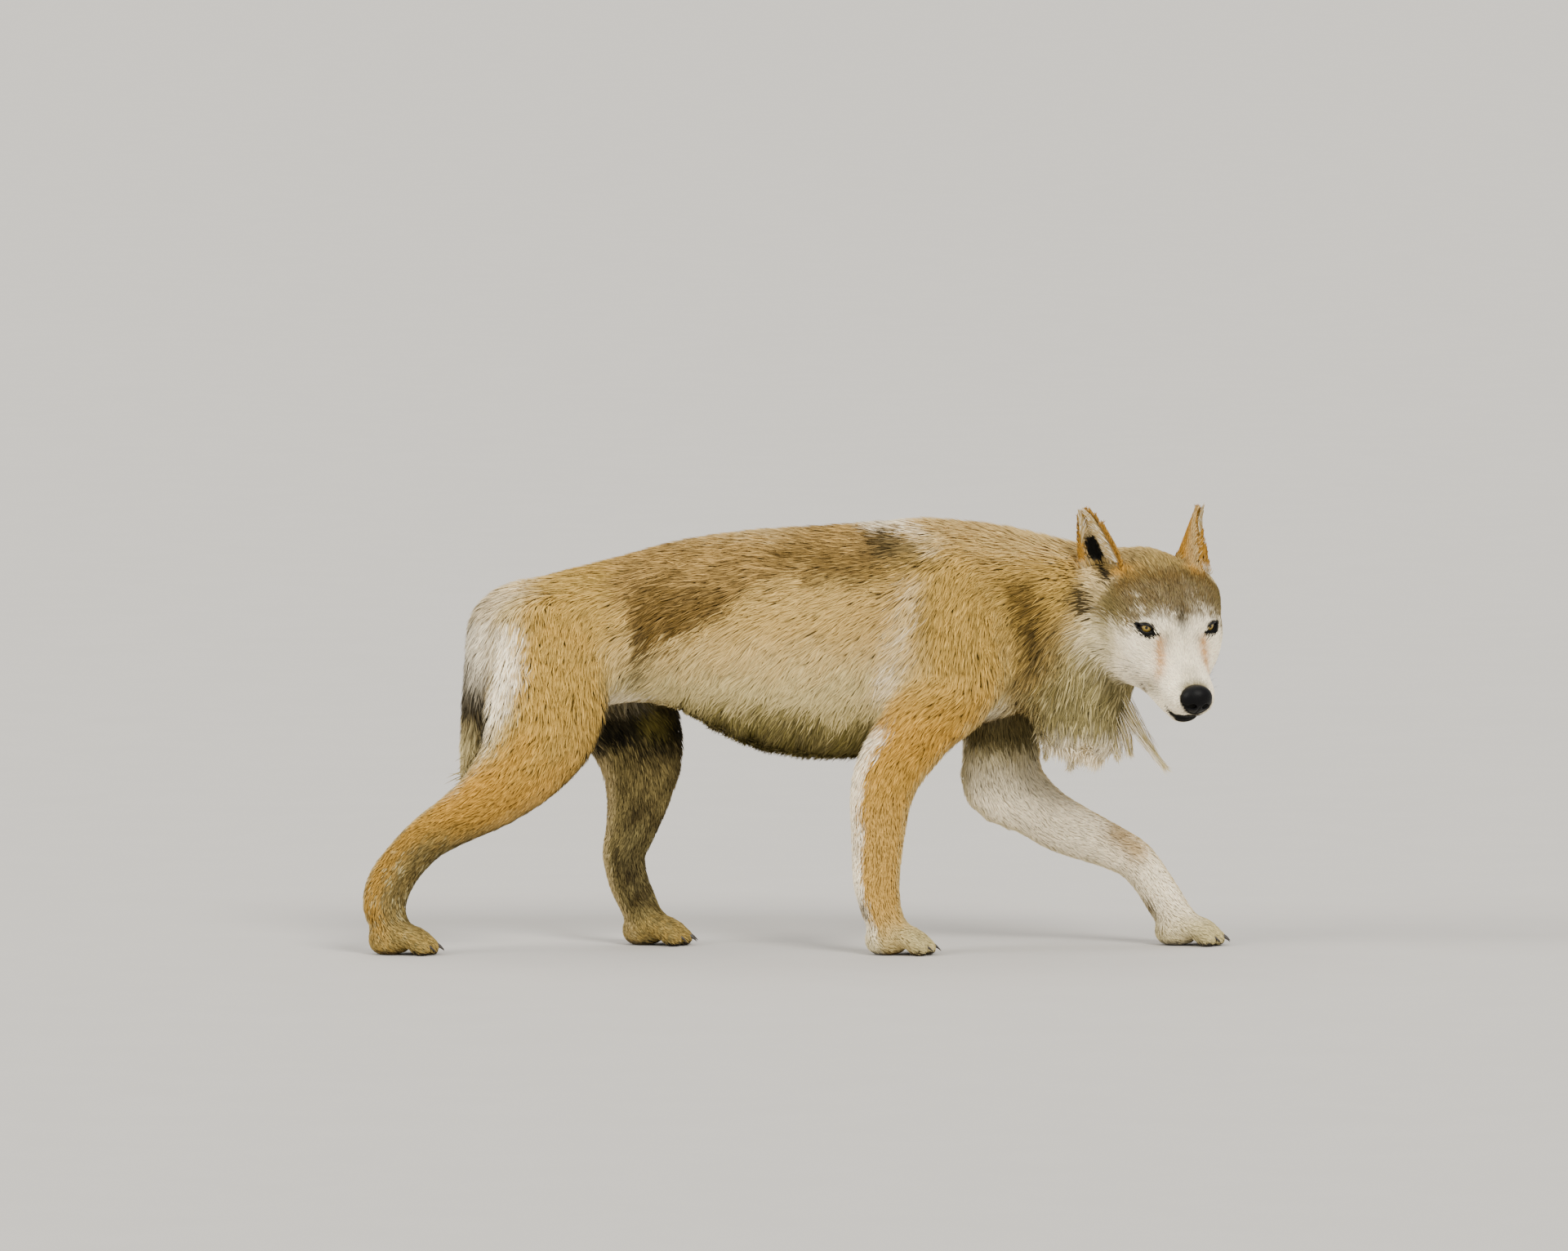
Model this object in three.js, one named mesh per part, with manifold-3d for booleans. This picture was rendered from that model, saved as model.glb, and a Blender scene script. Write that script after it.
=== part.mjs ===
// A grey wolf, life size, as a still museum model: it walks along +X, its head low and turned to its right.
// Millimetres. +X is the way it walks, +Y its left, +Z up. The soles stand on Z = 0.
//
// The animal is one field, a signed distance that is negative inside the coat's outer surface. Trunk, neck,
// legs, tail and head are rows of stations, each a centre with its half widths, softly joined. The field is
// turned into faces part by part, and thin cuts divide it where a person would name its parts.
import * as THREE from "three";
import Module from "manifold-3d";
import { mergeVertices } from "three/addons/utils/BufferGeometryUtils.js";

const wasm = await Module();
wasm.setup();

// ---------------------------------------------------------------- driving dimensions
const CENTRE = [9.45, -43.4]; // the middle of the whole animal's box before it is moved over the origin
const GAP = 0.3; // width of the cuts between parts
const SOLE = 0; // level of the flats that it stands on

const EYE_RADIUS = 14;
const EYE_AT = [47, 50, 33]; // in the head's frame: forward, left, up
const GAZE = [0.72, 0.62, 0.3]; // where the left eye looks, in the same frame
const LID_AT = 17; // middle of the opening of the lids, from the middle of the eye
const LID_RADII = [8, 19, 9.5]; // along the gaze, across, up
const HEAD_AT = [578, -75, 519];
const HEAD_PITCH = 35; // degrees below level
const HEAD_YAW = 22; // degrees from straight at its right side towards the way it walks

const CLAW_LENGTH = 15;
const CLAW_RADIUS = 3.4;
const CLAW_TILT = 32; // degrees below level
const CLAW_SIDES = 6;
const CLAW_SEAT = [15, 0, 1]; // from the middle of the toe's tip to the middle of the claw

// Widths of the soft joins.
const JOIN = { trunk: 30, neck: 60, leg: 36, paw: 16, head: 40, ruff: 40, palm: 10, toe: 7 };
const HEAD_JOIN = { skull: 30, cheek: 26, muzzle: 24, jaw: 26 };

// ---------------------------------------------------------------- stations
// [x, y, z, half width to the side, half depth to the fore (or up), half depth aft (or down), keel]
// Keel narrows the lower half, from 0 for none to 1 for a sharp edge.
const TRUNK = [
  [-455, 0, 498, 50, 60, 70, 0],
  [-400, 0, 492, 84, 90, 102, 0],
  [-330, 0, 496, 98, 106, 114, 0.1],
  [-240, 0, 512, 98, 113, 124, 0.15],
  [-150, 0, 520, 104, 130, 150, 0.2],
  [-50, 0, 512, 116, 152, 191, 0.25],
  [50, 0, 505, 124, 164, 204, 0.3],
  [140, 0, 505, 122, 170, 196, 0.35],
  [230, 0, 508, 112, 164, 168, 0.35],
  [310, 0, 512, 98, 146, 150, 0.3],
  [370, 0, 510, 78, 122, 125, 0.2],
];
const NECK = [
  [230, 0, 545, 100, 112, 130, 0.2],
  [320, 2, 550, 96, 104, 130, 0.2],
  [410, 4, 552, 92, 92, 118, 0.2],
  [490, 2, 553, 88, 84, 104, 0.1],
  [545, -8, 556, 80, 74, 90, 0],
];
const TAIL = [
  [-426, 0, 548, 30, 34, 34, 0],
  [-460, 4, 522, 36, 36, 36, 0],
  [-480, 10, 470, 42, 34, 32, 0],
  [-486, 16, 400, 47, 34, 34, 0],
  [-492, 18, 344, 41, 30, 30, 0],
  [-503, 18, 296, 26, 21, 21, 0],
  [-512, 18, 262, 8, 8, 8, 0],
];
const FORELEG_RIGHT = [
  [240, -74, 590, 34, 60, 60, 0],
  [262, -86, 500, 42, 72, 72, 0],
  [268, -90, 430, 44, 66, 78, 0],
  [205, -92, 366, 44, 62, 62, 0],
  [158, -92, 300, 40, 54, 56, 0],
  [142, -90, 250, 35, 47, 52, 0],
  [137, -88, 200, 31, 42, 46, 0],
  [134, -88, 150, 29, 38, 41, 0],
  [133, -88, 112, 29, 36, 38, 0],
  [139, -88, 72, 28, 32, 32, 0],
  [150, -88, 42, 29, 30, 30, 0],
];
const FORELEG_LEFT = [
  [240, 74, 590, 34, 60, 60, 0],
  [272, 86, 500, 42, 72, 70, 0],
  [312, 88, 420, 46, 66, 70, 0],
  [326, 86, 330, 44, 66, 58, 0],
  [344, 84, 262, 40, 52, 78, 0],
  [388, 82, 213, 35, 46, 48, 0],
  [431, 80, 186, 32, 44, 44, 0],
  [500, 80, 156, 29, 36, 36, 0],
  [540, 80, 134, 28, 33, 33, 0],
  [568, 80, 100, 27, 30, 31, 0],
  [590, 80, 66, 28, 30, 31, 0],
  [606, 80, 42, 29, 28, 28, 0],
];
const HINDLEG_RIGHT = [
  [-392, -62, 520, 44, 92, 70, 0],
  [-385, -80, 430, 52, 100, 92, 0],
  [-392, -88, 365, 50, 96, 95, 0],
  [-425, -90, 300, 44, 74, 72, 0],
  [-470, -89, 250, 37, 54, 54, 0],
  [-520, -88, 216, 31, 42, 42, 0],
  [-568, -86, 185, 27, 36, 36, 0],
  [-603, -85, 150, 26, 34, 35, 0],
  [-630, -84, 112, 26, 36, 36, 0],
  [-639, -84, 76, 27, 34, 34, 0],
  [-630, -84, 44, 29, 29, 29, 0],
];
const HINDLEG_LEFT = [
  [-392, 62, 520, 44, 92, 70, 0],
  [-330, 80, 430, 52, 100, 95, 0],
  [-264, 86, 366, 48, 84, 84, 0],
  [-238, 87, 302, 42, 68, 70, 0],
  [-240, 87, 237, 35, 50, 54, 0],
  [-253, 86, 179, 28, 38, 42, 0],
  [-264, 86, 142, 26, 33, 36, 0],
  [-257, 86, 100, 26, 31, 33, 0],
  [-243, 86, 66, 27, 30, 31, 0],
  [-232, 86, 42, 29, 28, 28, 0],
];
// The loose coat that hangs from the throat, and the locks that end it.
const RUFF = [
  [500, -30, 470, 52, 62, 104, 0],
  [474, -28, 400, 46, 58, 106, 0],
  [458, -26, 344, 34, 60, 84, 0],
];
const LOCKS = [
  [[441, -22, 352, 20, 26, 26, 0], [439, -22, 314, 12, 15, 15, 0], [437, -22, 284, 4, 4, 4, 0]],
  [[406, -12, 356, 18, 24, 24, 0], [401, -12, 322, 10, 12, 12, 0], [398, -12, 298, 4, 4, 4, 0]],
  [[478, -30, 350, 20, 26, 26, 0], [483, -31, 318, 11, 14, 14, 0], [486, -32, 296, 4, 4, 4, 0]],
  [[500, -34, 405, 22, 26, 26, 0], [536, -37, 350, 14, 15, 15, 0], [588, -40, 284, 4, 4, 4, 0]],
];
// In the head's frame: forward, left, up.
const MUZZLE = [
  [30, 0, 0, 50, 38, 44, 0],
  [70, 0, -8, 46, 33, 40, 0],
  [110, 0, -16, 43, 30, 36, 0],
  [146, 0, -22, 42, 30, 32, 0],
  [162, 0, -24, 36, 28, 26, 0],
];
const JAW = [
  [-20, 0, -52, 48, 30, 34, 0],
  [50, 0, -60, 44, 24, 30, 0],
  [110, 0, -64, 33, 18, 20, 0],
  [148, 0, -61, 23, 15, 15, 0],
];
const SKULL = [
  { at: [-42, 0, 20], radii: [86, 78, 57] },
  { at: [14, 0, 22], radii: [62, 64, 44] },
];
const CHEEKS = [
  { at: [-14, 62, 2], radii: [62, 34, 46] },
  { at: [-38, 66, 26], radii: [44, 34, 34] },
  { at: [-52, 66, -42], radii: [58, 44, 62] },
  { at: [30, 56, -8], radii: [46, 26, 34] },
  { at: [60, 40, -24], radii: [42, 26, 28] },
  { at: [20, 48, -50], radii: [52, 32, 36] },
];
const EARS = {
  right: { at: [-85, -72, 42], tip: [-45, -49, 82], opening: [0.62, -0.7, 0.1], length: 106, cup: 25 },
  left: { at: [-85, 62, 42], tip: [-45, 33, 80], opening: [0.5, 0.82, 0.25], length: 97, cup: 50 },
};
const EAR_HALF_WIDTH = 40;
const EAR_THICKNESS = 16;
const EAR_ROOT = -0.35; // how far the ear goes down into the head, as a share of its length
const EAR_WAIST = 1.3; // how fast the ear narrows below the head's surface
const NOSE = { at: [174, 0, -13], radii: [19, 26, 24] };

// Toes, from the ball of the foot: [forward, left, up, radius] at the knuckle, the joint and the tip.
const TOES = [-29, -10.5, 10.5, 29].map((side) => {
  const inner = Math.abs(side) < 20;
  return [
    [6, side * 0.72, 32, 16, 16, 16, 0],
    [inner ? 38 : 26, side * 0.95, 27, 15, 15, 15, 0],
    [inner ? 60 : 46, side, 11, 13, 13, 16, 0],
  ];
});
const PALM = { at: [-4, 0, 20], radii: [34, 33, 24] };
const PAWS = {
  foreleg_right: { at: [152, -88, 0], yaw: 4 },
  foreleg_left: { at: [610, 80, 0], yaw: -3 },
  hindleg_right: { at: [-626, -84, 0], yaw: 2 },
  hindleg_left: { at: [-230, 86, 0], yaw: -4 },
};

// Swellings of the head's surface on each side, in its frame: forward, left, up, reach, height.
const SWELLINGS = [
  [56, 52, 32, 34, 9.5], // around the eye
  [-20, 30, 60, 40, 2], // the crown beside the midline
];

// ---------------------------------------------------------------- the field
const radians = THREE.MathUtils.degToRad;

// A frame: where it is, and its forward, left and up as columns.
function frameOf(at, forward, left) {
  const up = new THREE.Vector3().crossVectors(forward, left).normalize();
  const matrix = new THREE.Matrix4().makeBasis(forward, left, up).setPosition(...at);
  return { matrix, inverse: matrix.clone().invert() };
}

function headFrame() {
  const [p, y] = [radians(HEAD_PITCH), radians(HEAD_YAW)];
  const forward = new THREE.Vector3(Math.cos(p) * Math.sin(y), -Math.cos(p) * Math.cos(y), -Math.sin(p));
  return frameOf(HEAD_AT, forward, new THREE.Vector3(Math.cos(y), Math.sin(y), 0));
}

function pawFrame({ at, yaw }) {
  const y = radians(yaw);
  const forward = new THREE.Vector3(Math.cos(y), Math.sin(y), 0);
  return frameOf(at, forward, new THREE.Vector3(-Math.sin(y), Math.cos(y), 0));
}

// Three stations between each two, along a Catmull-Rom curve.
function refine(stations, steps = 3) {
  const made = [];
  for (let i = 0; i < stations.length - 1; i++) {
    const [a, b, c, d] = [i - 1, i, i + 1, i + 2].map(
      (k) => stations[THREE.MathUtils.clamp(k, 0, stations.length - 1)],
    );
    for (let s = 0; s < steps; s++) {
      const t = s / steps;
      made.push(
        b.map((_, k) => {
          const bend = 2 * a[k] - 5 * b[k] + 4 * c[k] - d[k];
          const twist = -a[k] + 3 * b[k] - 3 * c[k] + d[k];
          return 0.5 * (2 * b[k] + (c[k] - a[k]) * t + bend * t * t + twist * t * t * t);
        }),
      );
    }
  }
  return [...made, stations.at(-1)];
}

// Distance to an ellipsoid of radii a, b, c from a point in its own axes, close to true near its surface.
function ellipsoidDistance(x, y, z, a, b, c) {
  const k = Math.hypot(x / a, y / b, z / c);
  const slope = Math.hypot(x / (a * a), y / (b * b), z / (c * c));
  return slope < 1e-9 ? -Math.min(a, b, c) : (k * (k - 1)) / slope;
}

// A row of stations as a distance function, with the box that it fills.
function row(stations, steps) {
  const pins = refine(stations, steps);
  const bones = pins.slice(1).map((to, i) => {
    const from = pins[i];
    const axis = new THREE.Vector3(to[0] - from[0], to[1] - from[1], to[2] - from[2]);
    const length = axis.length();
    axis.divideScalar(length);
    const side = new THREE.Vector3(0, 1, 0).addScaledVector(axis, -axis.y).normalize();
    const fore = new THREE.Vector3().crossVectors(axis, side);
    return { from, to, axis, side, fore, length };
  });
  const box = new THREE.Box3();
  for (const pin of pins) {
    const reach = Math.max(pin[3], pin[4], pin[5]);
    box.expandByPoint(new THREE.Vector3(pin[0] - reach, pin[1] - reach, pin[2] - reach));
    box.expandByPoint(new THREE.Vector3(pin[0] + reach, pin[1] + reach, pin[2] + reach));
  }
  const distance = (x, y, z) => {
    let nearest = Infinity;
    for (const { from, to, axis, side, fore, length } of bones) {
      const [dx, dy, dz] = [x - from[0], y - from[1], z - from[2]];
      const along = dx * axis.x + dy * axis.y + dz * axis.z;
      const t = Math.min(Math.max(along / length, 0), 1);
      const s = dx * side.x + dy * side.y + dz * side.z;
      const f = dx * fore.x + dy * fore.y + dz * fore.z;
      const width = from[3] + (to[3] - from[3]) * t;
      const k = f > 0 ? 4 : 5;
      const depth = from[k] + (to[k] - from[k]) * t;
      const keel = f > 0 ? 0 : from[6] + (to[6] - from[6]) * t;
      const narrowed = width * (1 - keel * Math.min(-f / depth, 1) ** 2);
      const past = along - t * length;
      nearest = Math.min(nearest, ellipsoidDistance(s, f, past, narrowed, depth, Math.min(width, depth)));
    }
    return nearest;
  };
  return { box, distance };
}

function blob({ at, radii }) {
  const reach = new THREE.Vector3(...radii);
  const middle = new THREE.Vector3(...at);
  return {
    box: new THREE.Box3(middle.clone().sub(reach), middle.clone().add(reach)),
    distance: (x, y, z) => ellipsoidDistance(x - at[0], y - at[1], z - at[2], ...radii),
  };
}

// The soft join of two distances, over a width k.
function joined(a, b, k) {
  const h = Math.max(k - Math.abs(a - b), 0) / k;
  return Math.min(a, b) - (h * h * k) / 4;
}

const mirrored = ({ at, radii }) => ({ at: [at[0], -at[1], at[2]], radii });

// The same shape in another frame.
function placed(shape, { matrix, inverse }) {
  const m = inverse.elements;
  return {
    box: shape.box.clone().applyMatrix4(matrix),
    distance: (x, y, z) =>
      shape.distance(
        m[0] * x + m[4] * y + m[8] * z + m[12],
        m[1] * x + m[5] * y + m[9] * z + m[13],
        m[2] * x + m[6] * y + m[10] * z + m[14],
      ),
  };
}

// Shapes softly joined in turn, each over its own width. Far from a shape its box stands in for it.
function together(parts) {
  const box = new THREE.Box3();
  for (const [shape] of parts) box.union(shape.box);
  const distance = (x, y, z) => {
    let sum = 1e3;
    for (const [shape, k] of parts) {
      const b = shape.box;
      const away = Math.max(b.min.x - x, x - b.max.x, b.min.y - y, y - b.max.y, b.min.z - z, z - b.max.z);
      if (away > k + 40) sum = Math.min(sum, away);
      else sum = joined(sum, shape.distance(x, y, z), k);
    }
    return sum;
  };
  return { box, distance };
}

// A shape with swellings.
function formed(shape, forms) {
  return {
    box: shape.box,
    distance: (x, y, z) => {
      let sum = shape.distance(x, y, z);
      for (const [fx, fy, fz, reach, height] of forms) {
        const q = ((x - fx) ** 2 + (y - fy) ** 2 + (z - fz) ** 2) / (reach * reach);
        if (q < 6) sum -= height * Math.exp(-q);
      }
      return sum;
    },
  };
}

const headPlace = headFrame();
const skull = formed(
  together([
    ...SKULL.map((shape) => [blob(shape), HEAD_JOIN.skull]),
    ...CHEEKS.flatMap((cheek) => [cheek, mirrored(cheek)].map((shape) => [blob(shape), HEAD_JOIN.cheek])),
    [row(MUZZLE), HEAD_JOIN.muzzle],
    [row(JAW), HEAD_JOIN.jaw],
  ]),
  SWELLINGS.flatMap(([x, y, ...rest]) => [[x, y, ...rest], [x, -y, ...rest]]),
);
const head = placed(skull, headPlace);

const paws = Object.fromEntries(
  Object.entries(PAWS).map(([leg, place]) => [
    leg,
    placed(
      together([[blob(PALM), JOIN.palm], ...TOES.map((toe) => [row(toe), JOIN.toe])]),
      pawFrame(place),
    ),
  ]),
);
const LEGS = {
  foreleg_right: FORELEG_RIGHT,
  foreleg_left: FORELEG_LEFT,
  hindleg_right: HINDLEG_RIGHT,
  hindleg_left: HINDLEG_LEFT,
};
const limbs = Object.entries(LEGS).flatMap(([leg, stations]) => [
  [row(stations), JOIN.leg],
  [paws[leg], JOIN.paw],
]);
const core = [[row(TRUNK), JOIN.trunk], [row(NECK), JOIN.neck]];
const front = [[head, JOIN.head], [row(RUFF), JOIN.ruff]];
const fields = {
  fore: together([...core, ...front]),
  body: together([...core, ...limbs, ...front]),
  legs: together([core[0], ...limbs]),
  tail: row(TAIL),
};

// ---------------------------------------------------------------- from the field to faces
// Surface nets: one vertex in each cell that the surface crosses, drawn onto the surface, and one quad for
// each crossed edge.
function facesOf(shape, lo, hi, cell) {
  const n = [0, 1, 2].map((i) => Math.ceil((hi[i] - lo[i]) / cell[i]) + 1);
  const least = Math.min(...cell);
  const index = (i, j, k) => (k * n[1] + j) * n[0] + i;
  const values = new Float32Array(n[0] * n[1] * n[2]);
  const edge = (i, count) => i === 0 || i === count - 1;
  for (let k = 0; k < n[2]; k++)
    for (let j = 0; j < n[1]; j++)
      for (let i = 0; i < n[0]; i++) {
        const v = shape.distance(lo[0] + i * cell[0], lo[1] + j * cell[1], lo[2] + k * cell[2]);
        const outside = edge(i, n[0]) || edge(j, n[1]) || edge(k, n[2]);
        values[index(i, j, k)] = outside ? Math.max(v, least / 4) : v || 1e-6;
      }
  const corners = [0, 1, 2, 3, 4, 5, 6, 7].map((c) => [c & 1, (c >> 1) & 1, (c >> 2) & 1]);
  const edges = corners.flatMap((a, i) =>
    [1, 2, 4].filter((bit) => !(i & bit)).map((bit) => [a, corners[i | bit]]),
  );
  const vertexOf = new Map();
  const positions = [];
  const triangles = [];
  for (let k = 0; k < n[2] - 1; k++)
    for (let j = 0; j < n[1] - 1; j++)
      for (let i = 0; i < n[0] - 1; i++) {
        const sum = [0, 0, 0];
        let count = 0;
        for (const [a, b] of edges) {
          const va = values[index(i + a[0], j + a[1], k + a[2])];
          const vb = values[index(i + b[0], j + b[1], k + b[2])];
          if (va < 0 === vb < 0) continue;
          const t = va / (va - vb);
          for (let c = 0; c < 3; c++) sum[c] += a[c] + (b[c] - a[c]) * t;
          count++;
        }
        if (!count) continue;
        const at = [i, j, k].map((c, axis) => lo[axis] + (c + sum[axis] / count) * cell[axis]);
        vertexOf.set(index(i, j, k), positions.length / 3);
        positions.push(...drawnTo(shape, at, lo, hi, cell));
      }
  const quad = (a, b, c, d, turned) => {
    const [p, q, r, s] = (turned ? [a, d, c, b] : [a, b, c, d]).map((v) => vertexOf.get(v));
    const span = (u, v) =>
      Math.hypot(...[0, 1, 2].map((axis) => positions[3 * u + axis] - positions[3 * v + axis]));
    if (span(p, r) <= span(q, s)) triangles.push(p, q, r, p, r, s);
    else triangles.push(p, q, s, q, r, s);
  };
  for (let k = 0; k < n[2] - 1; k++)
    for (let j = 0; j < n[1] - 1; j++)
      for (let i = 0; i < n[0] - 1; i++) {
        const here = values[index(i, j, k)] < 0;
        const at = index(i, j, k);
        const [x, y, z] = [1, n[0], n[0] * n[1]];
        if (here !== values[at + x] < 0) quad(at - y - z, at - z, at, at - y, !here);
        if (here !== values[at + y] < 0) quad(at - x - z, at - x, at, at - z, !here);
        if (here !== values[at + z] < 0) quad(at - x - y, at - y, at, at - x, !here);
      }
  const geometry = new THREE.BufferGeometry();
  geometry.setAttribute("position", new THREE.Float32BufferAttribute(positions, 3));
  geometry.setIndex(triangles);
  return geometry;
}

// A vertex moved onto the surface by two steps down the slope, within its own cell.
function drawnTo(shape, at, lo, hi, cell) {
  const near = (c) => at[c] < lo[c] + cell[c] * 1.5 || at[c] > hi[c] - cell[c] * 1.5;
  const most = Math.min(...cell) / 3;
  if (near(0) || near(1) || near(2)) return at;
  const h = 0.5;
  let p = at;
  for (let step = 0; step < 2; step++) {
    const value = shape.distance(...p);
    const slope = [0, 1, 2].map((c) => {
      const q = [...p];
      q[c] += h;
      return (shape.distance(...q) - value) / h;
    });
    const square = Math.max(slope[0] ** 2 + slope[1] ** 2 + slope[2] ** 2, 0.2);
    const move = THREE.MathUtils.clamp(value / square, -most, most);
    p = p.map((v, c) => v - slope[c] * move);
  }
  return p;
}

// ---------------------------------------------------------------- solids
function solidOf(geometry, matrix = new THREE.Matrix4()) {
  const bare = geometry.clone().applyMatrix4(matrix);
  for (const name of Object.keys(bare.attributes)) if (name !== "position") bare.deleteAttribute(name);
  const merged = mergeVertices(bare, 1e-4);
  return new wasm.Manifold(
    new wasm.Mesh({
      numProp: 3,
      vertProperties: merged.attributes.position.array,
      triVerts: new Uint32Array(merged.index.array),
    }),
  );
}

const HUGE = 3000;

// The half of space on the far side of a plane, from a point along a direction.
function beyond(point, direction) {
  const to = new THREE.Vector3(...direction).normalize();
  const turn = new THREE.Quaternion().setFromUnitVectors(new THREE.Vector3(0, 0, 1), to);
  const middle = new THREE.Vector3(...point).addScaledVector(to, HUGE / 2 + GAP / 2);
  const matrix = new THREE.Matrix4().compose(middle, turn, new THREE.Vector3(1, 1, 1));
  return solidOf(new THREE.BoxGeometry(HUGE, HUGE, HUGE), matrix);
}

const opposite = ([point, direction]) => [point, direction.map((v) => -v)];
const largest = (solid) => solid.decompose().reduce((a, b) => (a.volume() > b.volume() ? a : b));

const cut = {
  ground: [[0, 0, SOLE - GAP / 2], [0, 0, 1]],
  head: [[549, -4, 645], [0.369, -0.914, 0.158]],
  neck: [[320, 0, 510], [0.914, 0, 0.406]],
  loin: [[-60, 0, 500], [-1, 0, 0.12]],
  elbows: [[0, 0, 300], [0, 0, -1]],
  knees: [[-450, 0, 380], [-0.2, 0, -1]],
  foreRightWrist: [[134, -88, 118], [0.05, 0, -1]],
  foreLeftWrist: [[541, 80, 132], [0.75, 0, -0.75]],
  hindRightHock: [[-590, -85, 165], [-0.68, 0, -0.74]],
  hindLeftHock: [[-262, 86, 150], [-0.1, 0, -1]],
};

// Each part's field, its box, the size of its faces, and the cuts that bound it.
const FLESH = {
  head: { of: "fore", cell: [22, 22, 22], lo: [400, -270, 330], hi: [740, 110, 720], cuts: [cut.head] },
  neck: {
    of: "fore", cell: [38, 35, 35], lo: [210, -170, 240], hi: [680, 150, 740],
    cuts: [cut.neck, opposite(cut.head)],
  },
  chest: {
    of: "body", cell: [48, 37, 37], lo: [-145, -200, 212], hi: [500, 190, 730],
    cuts: [opposite(cut.neck), opposite(cut.loin), opposite(cut.elbows)],
  },
  hindquarters: {
    of: "body", cell: [48, 37, 37], lo: [-560, -190, 272], hi: [0, 190, 700],
    cuts: [cut.loin, opposite(cut.knees)],
  },
  foreleg_right: {
    of: "legs", cell: [20, 20, 34], lo: [60, -160, 70], hi: [360, 0, 370],
    cuts: [cut.elbows, opposite(cut.foreRightWrist)],
  },
  foreleg_left: {
    of: "legs", cell: [22, 20, 24], lo: [220, 0, 60], hi: [640, 160, 370],
    cuts: [cut.elbows, opposite(cut.foreLeftWrist)],
  },
  hindleg_right: {
    of: "legs", cell: [30, 22, 26], lo: [-690, -175, 90], hi: [-240, 0, 430],
    cuts: [cut.knees, opposite(cut.hindRightHock)],
  },
  hindleg_left: {
    of: "legs", cell: [22, 20, 30], lo: [-400, 0, 100], hi: [-120, 170, 430],
    cuts: [cut.knees, opposite(cut.hindLeftHock)],
  },
  forepaw_right: {
    of: "legs", cell: [18, 17, 18], lo: [65, -150, -56], hi: [270, -30, 160],
    cuts: [cut.foreRightWrist, cut.ground], paw: "foreleg_right",
  },
  forepaw_left: {
    of: "legs", cell: [18, 17, 18], lo: [470, 15, -60], hi: [730, 140, 190],
    cuts: [cut.foreLeftWrist, cut.ground], paw: "foreleg_left",
  },
  hindpaw_right: {
    of: "legs", cell: [18, 17, 18], lo: [-725, -160, -40], hi: [-500, -20, 220],
    cuts: [cut.hindRightHock, cut.ground], paw: "hindleg_right",
  },
  hindpaw_left: {
    of: "legs", cell: [18, 17, 18], lo: [-330, 15, -40], hi: [-100, 150, 190],
    cuts: [cut.hindLeftHock, cut.ground], paw: "hindleg_left",
  },
};

const TAIL_GRID = { cell: [24, 24, 32], lo: [-600, -80, 220], hi: [-360, 100, 640] };

function fleshSolid({ of, lo, hi, cell, cuts, paw }) {
  let solid = solidOf(facesOf(fields[of], lo, hi, cell));
  if (paw) for (const claw of clawsOf(paw)) solid = solid.subtract(grown(claw));
  for (const plane of cuts) solid = solid.intersect(beyond(...plane));
  return largest(solid);
}

// One claw for each toe: a cone that points down by its tilt, its root inside the toe.
function clawsOf(leg) {
  const { matrix } = pawFrame(PAWS[leg]);
  return TOES.map((toe) => {
    const [x, y, z] = toe.at(-1);
    const cone = new THREE.ConeGeometry(CLAW_RADIUS, CLAW_LENGTH, CLAW_SIDES);
    cone.rotateZ(-Math.PI / 2);
    cone.rotateY(radians(CLAW_TILT));
    cone.translate(x + CLAW_SEAT[0], y + CLAW_SEAT[1], z + CLAW_SEAT[2]);
    return solidOf(cone, matrix);
  });
}

// A lock of hair: a tapering tube along its stations.
function lockSolid(stations) {
  const pins = refine(stations, 2);
  const tube = new THREE.CylinderGeometry(1, 1, 1, 6, pins.length - 1);
  const at = tube.attributes.position;
  for (let i = 0; i < at.count; i++) {
    const [x, y, z, side, fore] = pins[Math.round((0.5 - at.getY(i)) * (pins.length - 1))];
    at.setXYZ(i, x + at.getX(i) * fore, y - at.getZ(i) * side, z);
  }
  return solidOf(tube);
}

// An ear: a leaf, cupped towards its opening, thinner towards its rim and its tip.
function earSolid({ at, tip, opening, length, cup }) {
  const up = new THREE.Vector3(...tip).normalize();
  const open = new THREE.Vector3(...opening);
  open.addScaledVector(up, -up.dot(open)).normalize();
  const across = new THREE.Vector3().crossVectors(up, open);
  const leaf = new THREE.BoxGeometry(1, 1, 1, 6, 7, 1);
  const points = leaf.attributes.position;
  for (let i = 0; i < points.count; i++) {
    const h = EAR_ROOT + (points.getY(i) + 0.5) * (1 - EAR_ROOT);
    const w = points.getX(i) * 2;
    const share = Math.max(h, 0);
    const waist = 1 + EAR_WAIST * Math.min(h, 0);
    const half = Math.max(EAR_HALF_WIDTH * Math.sqrt(1 - share ** 2) * (1 - 0.2 * share) * waist, 2);
    const thick = EAR_THICKNESS * (1 - 0.5 * share) * (1 - 0.55 * w * w);
    const cupped = cup * (1 - 0.5 * share) * ((w * half) / EAR_HALF_WIDTH) ** 2;
    const to = new THREE.Vector3(...at)
      .addScaledVector(up, h * length)
      .addScaledVector(across, w * half)
      .addScaledVector(open, cupped - cup / 3 + points.getZ(i) * thick);
    points.setXYZ(i, to.x, to.y, to.z);
  }
  return solidOf(leaf, headPlace.matrix);
}

// A solid with its surface moved out by the gap, to clear room around it.
function grown(solid) {
  const geometry = geometryOf(solid);
  const [at, out] = [geometry.attributes.position, geometry.attributes.normal];
  for (let i = 0; i < at.array.length; i++) at.array[i] += out.array[i] * GAP;
  return solidOf(geometry);
}

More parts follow.
